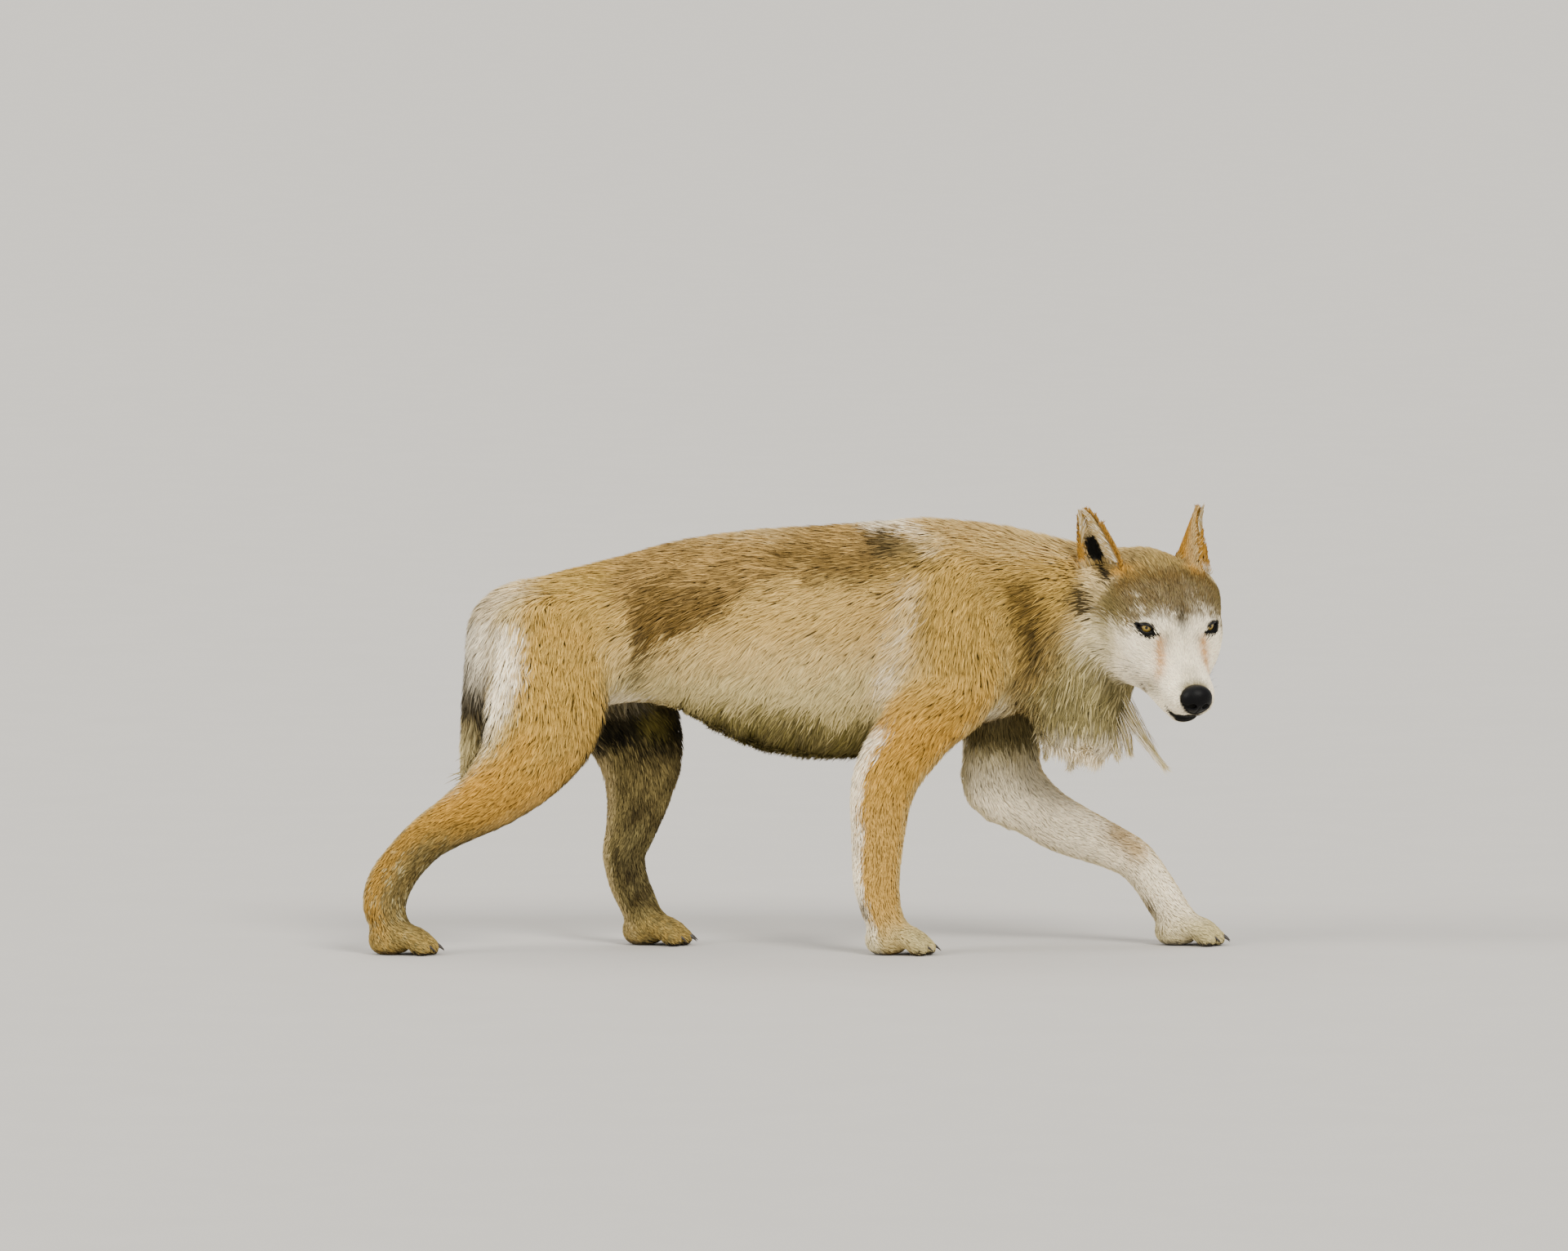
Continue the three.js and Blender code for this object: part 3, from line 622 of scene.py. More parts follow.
def drawn_on(shape, p, steps=2, most=2.0):
    """Points moved onto the surface, and the slope there."""
    slope = np.zeros_like(p)
    for _ in range(steps):
        value = shape(p)
        for c in range(3):
            q = p.copy()
            q[:, c] += 0.4
            slope[:, c] = (shape(q) - value) / 0.4
        square = np.maximum((slope**2).sum(axis=1), 0.25)
        move = np.clip(value / square, -most, most)
        p = p - slope * move[:, None]
    return p


def surface_net(shape, marks, steps=2, most=2.0):
    """One vertex in each crossed cell, one quad for each crossed edge. Returns points and triangles."""
    values = near_surface(shape, marks)
    inside = values < 0
    nx, ny, nz = (k - 1 for k in values.shape)
    corners = [(a, b, c) for a in (0, 1) for b in (0, 1) for c in (0, 1)]
    count = sum(inside[a : a + nx, b : b + ny, c : c + nz].astype(np.int8) for a, b, c in corners)
    i, j, k = np.nonzero((count > 0) & (count < 8))
    total = np.zeros((len(i), 3))
    crossings = np.zeros(len(i))
    for a in corners:
        for axis in range(3):
            if a[axis]:
                continue
            b = list(a)
            b[axis] = 1
            va = values[i + a[0], j + a[1], k + a[2]].astype(float)
            vb = values[i + b[0], j + b[1], k + b[2]].astype(float)
            crossed = (va < 0) != (vb < 0)
            t = np.where(crossed, va / np.where(crossed, va - vb, 1), 0)
            at = np.array([a] * len(i), float)
            at[:, axis] += t
            total += at * crossed[:, None]
            crossings += crossed
    share = total / crossings[:, None]
    points = np.empty((len(i), 3))
    for axis, index in enumerate((i, j, k)):
        m = marks[axis]
        points[:, axis] = m[index] + share[:, axis] * (m[index + 1] - m[index])
    vertex = np.full((nx, ny, nz), -1, np.int32)
    vertex[i, j, k] = np.arange(len(i))
    points = drawn_on(shape, points, steps, most)
    quads = []
    for axis in range(3):
        u, v = [(1, 2), (2, 0), (0, 1)][axis]
        lo = [slice(None)] * 3
        hi = [slice(None)] * 3
        lo[axis], hi[axis] = slice(0, -1), slice(1, None)
        crossed = inside[tuple(lo)] != inside[tuple(hi)]
        at = np.array(np.nonzero(crossed))
        ok = (at[u] > 0) & (at[v] > 0) & (at[u] < values.shape[u] - 1) & (at[v] < values.shape[v] - 1)
        at = at[:, ok]
        first = inside[at[0], at[1], at[2]]

        def cell(du, dv):
            c = at.copy()
            c[u] -= du
            c[v] -= dv
            return vertex[c[0], c[1], c[2]]

        quad = np.stack([cell(1, 1), cell(0, 1), cell(0, 0), cell(1, 0)], axis=1)
        quad[~first] = quad[~first][:, ::-1]
        quads.append(quad)
    quads = np.concatenate(quads)
    a, b, c, d = (points[quads[:, n]] for n in range(4))
    short = np.linalg.norm(a - c, axis=1) <= np.linalg.norm(b - d, axis=1)
    q1, q2 = quads[short], quads[~short]
    triangles = np.concatenate([q1[:, [0, 1, 2]], q1[:, [0, 2, 3]], q2[:, [0, 1, 3]], q2[:, [1, 2, 3]]])
    return points, triangles


def vertex_normals(points, triangles):
    a, b, c = (points[triangles[:, n]] for n in range(3))
    face = np.cross(b - a, c - a)
    made = np.zeros_like(points)
    for n in range(3):
        np.add.at(made, triangles[:, n], face)
    return unit(made)


# ---------------------------------------------------------------- markings
def linear(colour):
    c = np.asarray(colour, float) / 255
    return np.where(c <= 0.04045, c / 12.92, ((c + 0.055) / 1.055) ** 2.4)


TONES = {
    name: linear(rgb)
    for name, rgb in {
        "tan": (172, 140, 68),
        "gold": (180, 144, 66),
        "flank": (198, 172, 112),
        "cream": (204, 188, 134),
        "white": (252, 240, 212),
        "pale": (210, 186, 134),
        "saddle": (162, 130, 74),
        "umber": (84, 64, 25),
        "dark": (46, 37, 17),
        "black": (9, 8, 5),
        "grey": (120, 109, 68),
        "forehead": (82, 67, 40),
        "orange": (176, 128, 44),
        "fringe": (104, 94, 42),
        "rose": (196, 144, 84),
        "skin": (30, 26, 22),
    }.items()
}


def mix(base, tone, amount):
    a = np.clip(amount, 0, 1)[:, None]
    return base * (1 - a) + TONES[tone] * a


def painted(base, *layers):
    """The base colours under layers of tone and amount, each laid over the ones before."""
    for tone, amount in layers:
        base = mix(base, tone, amount)
    return base


def ripple(p, size, seed):
    """A soft, even noise between about -1 and 1, from crossed waves that bend each other."""
    rng = np.random.default_rng(seed)
    total = np.zeros(len(p))
    q = p / size
    for n in range(5):
        way = unit(rng.normal(size=3))
        bend = unit(rng.normal(size=3))
        phase = rng.uniform(0, 6.28, 2)
        total += np.sin(q @ way * (1 + 0.35 * n) * 4 + phase[0] + 1.4 * np.sin(q @ bend * 3 + phase[1]))
    return total / 2.4


def band(x, z, line, reach):
    """How near a point is to a line of [x, z] pins, from 0 to 1."""
    p = np.stack([x, z], axis=1)
    pins = np.array(line, float)
    best = np.full(len(p), FAR)
    for a, b in zip(pins[:-1], pins[1:]):
        t = np.clip(((p - a) @ (b - a)) / ((b - a) @ (b - a)), 0, 1)
        best = np.minimum(best, np.linalg.norm(p - a - t[:, None] * (b - a), axis=1))
    return np.exp(-((best / reach) ** 2))


def level(x, line):
    """The height of a line of [x, z] pins at each x."""
    pins = np.array(line, float)
    return np.interp(x, pins[:, 0], pins[:, 1])


def head_markings(q):
    f, l, u = q[:, 0], np.abs(q[:, 1]), q[:, 2]
    n, m = ripple(q, 26, 11), ripple(q, 11, 12)

    def patch(at, reach):
        return np.exp(-sum(((v - c) / r) ** 2 for v, c, r in zip((f, l, u), at, reach)))

    made = np.tile(TONES["white"], (len(q), 1))
    made = mix(made, "cream", ramp(80, 0, f) * 0.6 + 0.12 * n)
    # Crown and forehead, grizzled, down to a line over the brows, with a dark arc in front of the ears.
    brow = level(l, [[0, 50], [20, 57], [54, 50], [82, 32], [104, 8]])
    top = ramp(-19, 11, u + 6 * n + 9 * m - brow + 8 * ramp(-10, -60, f))
    made = painted(
        made,
        ("forehead", top * ramp(76, 48, f + 5 * n + 4 * m) * 0.92),
        ("grey", top * ramp(-38, -56, f + 5 * n) * ramp(60, 30, l) * 0.45),
        ("umber", band(f, l, [[2, 104], [-20, 88], [-30, 70], [-38, 40], [-26, 12]], 17) * top * 0.85),
        ("umber", band(f, l, [[2, 66], [12, 40]], 13) * top * 0.4),
        ("tan", bump(l, 14, 34) * ramp(-34, -64, f + 6 * m) * top * 0.35),
        ("umber", top * ramp(-0.1, 1.1, ripple(q * (0.5, 1, 1), 9, 14)) * 0.6),
        ("grey", patch((-16, 92, 30), (34, 34, 20)) * 0.6),
        ("dark", bump(l, 0, 8) * bump(f, 53, 18) * ramp(20, 36, u) * 0.9),
        ("umber", bump(l, 4, 10) * bump(f, -4, 34) * top * 0.35),
        # Warm roots in front of the ears, and a pale strip from there down to the cheek.
        ("orange", patch((-58, 66, 74), (15, 20, 30)) * 0.95),
        ("pale", band(f, l, [[-46, 86], [-40, 104], [-44, 120]], 7) * ramp(0, 24, u) * 0.8),
        # Pale spots over the brows.
        ("white", patch((58, 34, 52), (13, 14, 9)) * 0.7),
        # Side of the head behind the cheek, the dark shade under it, and the corner of the mouth.
        ("pale", ramp(-20, -75, f) * ramp(40, 10, u) * 0.8),
        ("grey", patch((-8, 112, -8), (22, 40, 22)) * 0.5),
        ("grey", patch((14, 100, -46), (14, 40, 12)) * 0.4),
        ("grey", ramp(-74, -100, u + 6 * m) * 0.75),
        ("umber", patch((82, 43, -66), (7, 16, 9)) * 0.8),
        ("grey", patch((98, 44, -56), (16, 16, 10)) * 0.45),
    )
    # Warm patch under the inner corner of each eye, and the grey bridge of the nose.
    tear = np.maximum.reduce([patch((80 + 9 * k, 38, 26 - 12 * k), (13, 9, 12)) for k in range(4)])
    made = painted(
        made,
        ("rose", tear * 0.95),
        ("grey", ramp(0.1, 1.2, ripple(q * (0.6, 1, 1.3), 12, 13)) * ramp(60, 10, f) * 0.4),
        ("dark", patch((166, 0, 15), (12, 19, 8)) * 0.9),
        ("forehead", patch((76, 26, 32), (10, 8, 9)) * 0.35),
        ("grey", ramp(140, 162, f) * ramp(34, 16, l) * ramp(-14, 4, u) * 0.85),
        ("grey", ramp(100, 140, f) * ramp(22, 6, l) * ramp(-4, 12, u) * 0.3),
    )
    # Dark rims of the eyes, drawn out into both corners, with a light ring round them, and the black lips.
    for side_name, eye in EYES.items():
        lens, out = lid_distance(q, side_name)
        _, left, over = lid_axes(side_name)
        along = (q - eye) @ left * (1 if side_name == "right" else -1)
        over = (q - eye) @ over
        made = mix(made, "white", ramp(13, 6, lens) * (out > 0) * 0.6)
        taper = 4.6 * ramp(25, 12, np.abs(along)) + 0.6
        corner = (
            ramp(taper + 1.2, taper - 0.6, np.abs(over + 0.1 * along)) * ramp(26, 22, np.abs(along + 0.5))
        )
        made = mix(made, "black", np.maximum(ramp(4.4, 2.4, lens), corner) * (out > 4))
    lip = lip_distance(q)
    reach = 2.0 + 3.5 * ramp(118, 146, f) + 20 * ramp(150, 164, f) * ramp(20, 12, l)
    made = mix(made, "black", ramp(reach + 2.5, reach - 1.5, lip))
    return mix(made, "black", ramp(2.5, 1.0, ellipsoid(*(q - NOSE[0]).T, *NOSE[1])))


def ear_markings(ear, q, inside):
    h, u, half, _ = ear.locate(q)
    w = u / half * (1 if ear is EAR_SHAPES["right"] else -1)
    made = np.tile(TONES["orange"], (len(q), 1))
    made = mix(made, "umber", np.maximum(bump(h, 1.0, 0.3), ramp(0.8, 1.0, np.abs(w))) * 0.45)
    made = mix(made, "pale", (1 - inside) * ramp(0.5, 0.9, np.abs(w)) * 0.5)
    hollow = ramp(0.8, 0.62, np.abs(w)) * ramp(0.86, 0.68, h) * inside
    made = mix(made, "pale", hollow)
    made = mix(made, "white", bump(w, 0.45, 0.22) * bump(h, 0.35, 0.35) * inside * 0.7)
    # The deep slit inside the ear, painted black as the shade in its hollow.
    slit = ramp(-0.74, -0.54, w) * ramp(0.14, -0.06, w) * ramp(-0.06, 0.06, h) * ramp(0.66, 0.5, h)
    made = mix(made, "black", np.clip(1.3 * slit, 0, 1) * inside)
    return mix(made, "white", ramp(0.24, 0.02, h) * ramp(-0.2, -0.6, w) * inside * 0.9)


def buttock(p):
    """The white wedge behind the thigh, widest at its middle, in the body's length and height."""
    x, z = p[:, 0] + 5 * ripple(p, 26, 33), p[:, 2]
    edge = level(z, [[240, -552], [310, -508], [376, -456], [440, -434], [490, -440], [512, -452]])
    return ramp(26, -12, x - edge) * ramp(522, 500, z) * ramp(236, 290, z)


def leg_markings(name, p, place):
    along, side, fore = place.T
    x, z = p[:, 0], p[:, 2]
    n = ripple(p, 34, 21)
    outward = side * (-1 if name.endswith("right") else 1)
    made = np.tile(TONES["gold"], (len(p), 1))
    if name.startswith("fore"):
        made = painted(
            made,
            ("tan", ramp(0.5, 0.2, along) * 0.8),
            ("pale", ramp(300, 200, z + 20 * n) * 0.15),
            ("orange", np.exp(-(((z - 330) / 80) ** 2)) * ramp(-0.4, 0.3, outward) * 0.65),
            ("orange", ramp(300, 220, z) * ramp(-0.4, 0.3, outward) * 0.35),
            ("white", ramp(-0.5, -0.85, fore + 0.1 * n) * ramp(370, 330, z) * 0.95),
            ("cream", ramp(0.7, 1.0, fore) * 0.4),
            ("cream", ramp(0.15, -0.4, outward) * 0.9),
            ("white", ramp(-0.1, -0.6, outward) * ramp(330, 250, z) * 0.85),
            ("white", ramp(0.3, 0.8, fore) * ramp(0.2, -0.4, outward) * ramp(320, 260, z) * 0.6),
            # Painted shadow of the chest across the top of the inner side.
            ("dark", ramp(288, 322, z + 10 * n) * ramp(0.0, -0.5, outward) * 0.9),
        )
        # Painted shade on the upper inner side, under the body.
        inner = ramp(0.1, -0.4, outward)
        made = mix(made, "grey", ramp(215, 260, z) * inner * 0.4)
        if name.endswith("left"):
            made = mix(made, "saddle", band(x, z, [[516, 178], [546, 150]], 22) * 0.8)
        made = mix(made, "umber", bump(along, 0.9, 0.04) * ramp(-0.5, -0.9, fore) * 0.8)
        return made
    made = painted(
        made,
        ("tan", 0.5 + 0.3 * n),
        ("saddle", ramp(0.2, 0.75, fore + 0.2 * n) * ramp(400, 330, z) * 0.3),
        ("orange", band(x, z, [[-420, 330], [-480, 268], [-540, 225]], 26) * ramp(0, 0.4, outward) * 0.45),
        ("cream", ramp(-0.3, -0.8, fore + 0.12 * n) * ramp(270, 330, z) * 0.5),
        ("cream", ramp(0.55, 0.95, fore) * ramp(0.25, 0.4, along) * 0.7),
    )
    s = ripple(p * (1, 1, 0.35), 13, 23)
    made = painted(
        made,
        ("orange", ramp(330, 250, z + 10 * n) * 0.6),
        ("umber", ramp(270, 170, z + 10 * n) * 0.42),
        ("grey", ramp(215, 160, z + 8 * n) * ramp(-0.6, 0.3, fore) * 0.7),
        ("dark", ramp(205, 150, z) * ramp(-0.5, 0.9, fore + 0.7 * s) * 0.6),
        ("cream", ramp(190, 140, z) * ramp(0.5, 1.2, s) * 0.5),
        ("white", buttock(p) * ramp(-0.5, 0.0, outward)),
    )
    # Inner side: darker hair and painted shade under the belly, its painted shadow near black at the top.
    inner = ramp(0.5, -0.1, outward)
    made = painted(
        made,
        ("grey", inner * 0.9),
        ("dark", inner * (0.6 + 0.25 * n + 0.1 * s) * ramp(-0.9, -0.4, fore)),
        ("pale", inner * ramp(-0.6, -0.95, fore) * 0.5),
        ("black", inner * ramp(290, 322, z + 10 * n + 6 * s) * ramp(398, 372, z + 10 * n) * 0.95),
    )
    return mix(made, "fringe", np.exp(-(((x + 214) / 20) ** 2) - ((z - 346) / 20) ** 2) * inner)


def body_markings(p):
    x, z = p[:, 0], p[:, 2]
    n, m = ripple(p, 60, 31), ripple(p, 24, 32)
    # Streaks along the lie of the hair.
    s = ripple(np.stack([(0.6 * x - 0.8 * z) * 3.2, p[:, 1], (0.8 * x + 0.6 * z) * 0.8], axis=1), 60, 34)
    zn = z + 10 * n + 4 * m
    made = np.tile(TONES["flank"], (len(p), 1))
    made = painted(
        made,
        ("gold", ramp(450, 520, zn) * 0.5),
        ("cream", ramp(470, 400, zn) * 0.75),
        ("saddle", ramp(40, 150, x) * ramp(400, 480, zn) * (0.35 + 0.25 * s)),
    )
    # The saddle, with its dark tongue down the flank in front of the thigh.
    back = [[-460, 660], [-400, 625], [-330, 596], [-285, 560]]
    tongue = [[-250, 474], [-215, 470], [-120, 522], [-85, 560]]
    edge = level(x, back + tongue + [[-15, 588], [110, 594], [200, 606]])
    saddle = ramp(-20, 22, zn - edge + 8 * s)
    made = painted(
        made,
        ("saddle", saddle * 0.85),
        (
            "umber",
            saddle * ramp(-285, -240, x + 6 * n) * ramp(20, -110, x) * ramp(618, 556, zn) * (0.75 + 0.25 * m)
        ),
        ("umber", band(x, z + 4 * m, [[-24, 624], [10, 628], [60, 620], [110, 606]], 17) * 0.75),
        ("umber", saddle * ramp(0.0, 1.2, ripple(p, 44, 35)) * 0.5),
        ("umber", saddle * (0.14 + 0.24 * s)),
        # Painted highlight along the top of the back.
        ("pale", ramp(636, 668, z + 6 * m) * ramp(-380, -280, x) * ramp(40, -60, x) * 0.45),
        # Rump, root of the tail, and painted shade in the crease in front of the thigh.
        ("tan", ramp(-265, -310, x + 8 * n) * 0.75),
        ("pale", ramp(-385, -430, x + 10 * n) * ramp(470, 520, z) * 0.9),
        ("white", ramp(-425, -465, x + 10 * n) * 0.45),
        ("orange", band(x, z, [[-400, 505], [-330, 490]], 16) * 0.4),
        ("white", buttock(p)),
        ("dark", band(x + 4 * m, z, [[-250, 500], [-236, 470], [-250, 425]], 10) * 0.7),
        # Dark patch behind the withers, with a pale tuft over it.
        ("umber", band(x, z, [[20, 592], [110, 590], [160, 600]], 14) * 0.55),
        ("white", band(x, z, [[116, 678], [165, 678], [200, 660]], 12) * 0.85),
    )
    # Shoulder, neck and their darker streaks, partly painted shade where the neck meets the shoulder.
    fore = ramp(190, 222, x + 0.12 * (z - 560))
    shoulder = mix(
        np.tile(TONES["tan"], (len(p), 1)), "saddle", ramp(580, 610, zn) * ramp(640, 610, zn) * 0.4
    )
    shoulder = painted(
        shoulder,
        # Painted highlight along the top of the shoulder.
        ("pale", ramp(640, 672, z + 5 * m) * 0.5),
        ("saddle", 0.45 + 0.25 * s),
        ("gold", band(x, z, [[210, 470], [200, 400], [180, 330]], 45) * 0.7),
        ("cream", band(x, z, [[272, 405], [318, 372]], 36) * 0.9),
        ("white", band(x, z, [[272, 394], [316, 368]], 24) * 0.6),
    )
    streak = band(x + 5 * m, z, [[336, 570], [356, 520], [378, 446]], 17)
    shoulder = painted(
        shoulder,
        ("umber", np.minimum(1.4 * streak, 0.9)),
        ("dark", band(x + 5 * m, z, [[350, 424], [366, 384]], 14) * 0.75),
        ("dark", band(x + 6 * m, z, [[362, 530], [388, 436], [394, 400]], 9) * 0.65),
    )
    made = made * (1 - fore[:, None]) + shoulder * fore[:, None]
    streak = band(x + 6 * m, z, [[212, 636], [190, 570], [172, 515], [156, 461], [140, 410]], 20)
    made = painted(
        made,
        ("pale", np.clip(streak * 1.5, 0, 1) * 0.7),
        ("white", streak * ramp(-0.5, 0.8, s) * 0.5),
        ("dark", band(x + 5 * m, z, [[208, 572], [206, 505]], 11) * 0.85),
    )
    patch = band(x + 9 * m, z + 7 * n, [[134, 642], [172, 628], [206, 604]], 21)
    made = mix(made, "dark", np.minimum(1.4 * patch, 0.92))
    # The shaggy fringe under the belly, partly darker hair and partly painted shade, darkest at its lowest
    # edge.
    hem = level(x, [[-300, 366], [-160, 380], [0, 372], [110, 362], [180, 346]])
    belly = ramp(16, -24, zn - hem + 15 * s) * ramp(-300, -230, x) * ramp(215, 165, x)
    made = painted(
        made,
        ("fringe", belly * (0.85 + 0.15 * s)),
        ("dark", belly * ramp(-10, -60, zn - hem + 14 * s) * 0.5),
        # Painted shade in the crease under the chest.
        ("umber", band(x, z, [[228, 314], [282, 344], [326, 360], [390, 378]], 9) * 0.8),
        ("fringe", np.exp(-(((x + 222) / 24) ** 2) - ((z - 352) / 20) ** 2) * 0.7),
    )
    return mix(made, "white", band(x, z, [[-300, 385], [-262, 386], [-236, 374]], 18) * 0.75)


def neck_markings(p):
    x, y, z = p[:, 0], p[:, 1], p[:, 2]
    n, m = ripple(p, 48, 41), ripple(p, 20, 42)
    s = ripple(np.stack([(0.75 * x - 0.66 * z) * 3, y, (0.66 * x + 0.75 * z) * 0.8], axis=1), 50, 43)
    made = np.tile(TONES["tan"], (len(p), 1))
    made = painted(
        made,
        ("saddle", ramp(560, 600, z + 10 * n) * ramp(640, 600, z) * 0.3),
        # Painted highlight along the top of the neck.
        ("pale", ramp(604, 640, z + 6 * m) * 0.5),
        ("grey", ramp(520, 440, z + 14 * n) * 0.6),
    )
    # Dark diagonal streaks in front of the shoulder, partly painted shade where the neck meets it.
    streak = band(x + 6 * m, z, [[352, 570], [368, 520], [384, 444]], 18)
    made = painted(
        made,
        ("umber", np.minimum(1.4 * streak, 0.9)),
        ("dark", band(x + 6 * m, z, [[362, 530], [388, 436], [394, 400]], 9) * 0.65),
        ("umber", band(x + 6 * m, z, [[404, 520], [412, 450]], 9) * 0.5),
        ("umber", (0.16 + 0.3 * s) * ramp(610, 540, z)),
        # Painted shade in the crease under the chest.
        ("umber", band(x, z, [[326, 370], [390, 386]], 10) * 0.8),
    )
    return mix(made, "cream", ramp(0, 1, s) * ramp(470, 400, z) * 0.5)


def ruff_markings(p):
    z = p[:, 2]
    m = ripple(p * (1, 1, 0.3), 13, 51)
    made = np.tile(TONES["grey"], (len(p), 1))
    made = mix(made, "cream", ramp(-0.2, 1.0, m) * 0.75)
    made = mix(made, "fringe", ramp(0.3, 1.2, -m) * ramp(350, 450, z) * 0.5)
    return mix(made, "white", ramp(350, 300, z) * 0.85)


def tail_markings(p, place):
    along = place[:, 0]
    n = ripple(p * (1, 1, 0.35), 16, 61)
    made = np.tile(TONES["pale"], (len(p), 1))
    made = mix(made, "dark", np.minimum(1.6 * bump(along + 0.03 * n, 0.4, 0.3), 1))
    made = mix(made, "grey", ramp(0.6, 0.72, along + 0.05 * n) * 0.5)
    return mix(made, "cream", ramp(0.62, 0.8, along) * ramp(-0.6, 0.5, n) * 0.9)


def paw_markings(p, leg):
    made = np.tile(TONES["cream" if leg.startswith("fore") else "tan"], (len(p), 1))
    made = mix(made, "grey", 0.3 + 0.25 * ripple(p, 11, 25) + (0.0 if leg.startswith("fore") else 0.25))
    return mix(made, "skin", ramp(7, 2.5, p[:, 2]))


def markings(p, normal, root=None):
    """The coat's colour at each point, the same for skin and tufts. A tuft keeps to its root's part."""
    w = shares(distances(p if root is None else root), 12)
    q = HEAD.inward(p)
    colour = np.zeros((len(p), 3))
    for i, name in enumerate(NAMES):
        live = w[:, i] > 0.01
        if not live.any():
            continue
        if name == "trunk":
            tone = body_markings(p[live])
        elif name == "neck":
            tone = neck_markings(p[live])
        elif name == "ruff":
            tone = ruff_markings(p[live])
        elif name == "tail":
            tone = tail_markings(p[live], PARTS[name][0].locate(p[live])[1])
        elif name == "head":
            tone = head_markings(q[live])
        elif name.startswith("paw_"):
            tone = paw_markings(p[live], name[4:])
        else:
            tone = leg_markings(name, p[live], PARTS[name][0].locate(p[live])[1])
        colour[live] += tone * w[live, i : i + 1]
    turned = normal @ HEAD.turn.T
    rooted = q if root is None else HEAD.inward(root)
    for ear in EAR_SHAPES.values():
        h = ear.locate(rooted)[0]
        off = ear.distance(rooted)
        mine = (off < 3.5) & (h > -0.12)
        if mine.any():
            inside = ramp(-0.2, 0.3, turned[mine] @ ear.open)
            tone = ear_markings(ear, q[mine], inside)
            a = (ramp(-0.12, 0.12, h[mine]) * ramp(3.5, 1.5, off[mine]))[:, None]
            colour[mine] = colour[mine] * (1 - a) + tone * a
    # Pale hair and the shade under the opening of the right ear, and the dark spot on the neck behind it.
    near = ramp(0, -25, p[:, 1]) * ramp(622, 610, p[:, 2])
    colour = mix(colour, "pale", band(p[:, 0], p[:, 2], [[456, 614], [464, 584]], 12) * near * 0.9)
    colour = mix(colour, "black", band(p[:, 0], p[:, 2], [[480, 614], [489, 592]], 9) * near)
    spot = np.exp(-(((p - (446, -85, 556)) / (13, 60, 19)) ** 2).sum(axis=1))
    return mix(colour, "dark", np.minimum(2.2 * spot, 0.95))


# ---------------------------------------------------------------- the lie of the coat
def lie(p, normal):
    """The way the hair lies at each point of the skin."""
    d = distances(p)
    w = shares(d, 16)
    q = HEAD.inward(p)
    height = np.clip((p[:, 2] - 360) / 260, 0, 1)[:, None]
    down = np.array([0.0, 0, -1])
    back = np.array([-1.0, 0, 0])
    way = np.zeros_like(p)
    for i, name in enumerate(NAMES):
        share = w[:, i : i + 1]
        if name == "trunk":
            flow = unit(back * (0.45 + 0.55 * height) + down * (1.25 - 1.05 * height))
        elif name == "neck":
            flow = unit(back + down * (1.2 - 0.8 * height))
        elif name == "ruff":
            flow = unit(np.tile(back * 0.15 + down, (len(p), 1)))
        elif name == "head":
            aim = unit(q - (178, 0, -4))
            droop = ramp(30, -60, q[:, 0]) * ramp(30, -30, q[:, 2])
            aim = unit(aim + droop[:, None] * np.array([-0.2, 0, -0.9]))
            flow = aim @ HEAD.turn
        elif name.startswith("paw_"):
            axes = paw_axes(*PAWS[name[4:]])
            flow = np.tile(unit(axes.turn[0] + down * 0.45), (len(p), 1))
        else:
            live = share[:, 0] > 0.01
            flow = np.zeros_like(p)
            if live.any():
                flow[live] = PARTS[name][0].locate(p[live])[2]
        way += flow * share
    for ear in EAR_SHAPES.values():
        h, u, half, _ = ear.locate(q)
        mine = (ear.distance(q) < 3.5) & (h > -0.1)
        spread = ear.up + ear.across * (u / half * 0.35)[:, None]
        way[mine] = (spread @ HEAD.turn)[mine]
    wander = np.stack([ripple(p, 70, s) for s in (71, 72, 73)], axis=1)
    way = unit(way) + 0.14 * wander
    way -= normal * (way * normal).sum(axis=1, keepdims=True)
    return unit(way)


# ---------------------------------------------------------------- meshes
def to_metres(p):
    return (np.asarray(p) - CENTRE) * 0.001


def mesh_object(name, points, triangles, material, colours=None, uv=None, normals=None, strand=None):
    """A mesh object at the origin, from points in millimetres."""
    mesh = bpy.data.meshes.new(name)
    mesh.vertices.add(len(points))
    mesh.vertices.foreach_set("co", to_metres(points).astype(np.float32).ravel())
    count = len(triangles)
    mesh.loops.add(3 * count)
    mesh.loops.foreach_set("vertex_index", np.asarray(triangles, np.int32).ravel())
    mesh.polygons.add(count)
    mesh.polygons.foreach_set("loop_start", np.arange(0, 3 * count, 3, dtype=np.int32))
    mesh.update(calc_edges=True)
    mesh.shade_smooth()
    if colours is not None:
        layer = mesh.attributes.new("coat_colour", "FLOAT_COLOR", "POINT")
        rgba = np.ones((len(points), 4), np.float32)
        rgba[:, :3] = colours
        layer.data.foreach_set("color", rgba.ravel())
    if strand is not None:
        layer = mesh.attributes.new("strand", "FLOAT_VECTOR", "POINT")
        layer.data.foreach_set("vector", strand.astype(np.float32).ravel())
    if uv is not None:
        layer = mesh.uv_layers.new(name="OFBake")
        layer.data.foreach_set("uv", uv.astype(np.float32).ravel())
    if normals is not None:
        mesh.normals_split_custom_set(normals)
    mesh.materials.append(material)
    made = bpy.data.objects.new(name, mesh)
    bpy.context.scene.collection.objects.link(made)
    return made


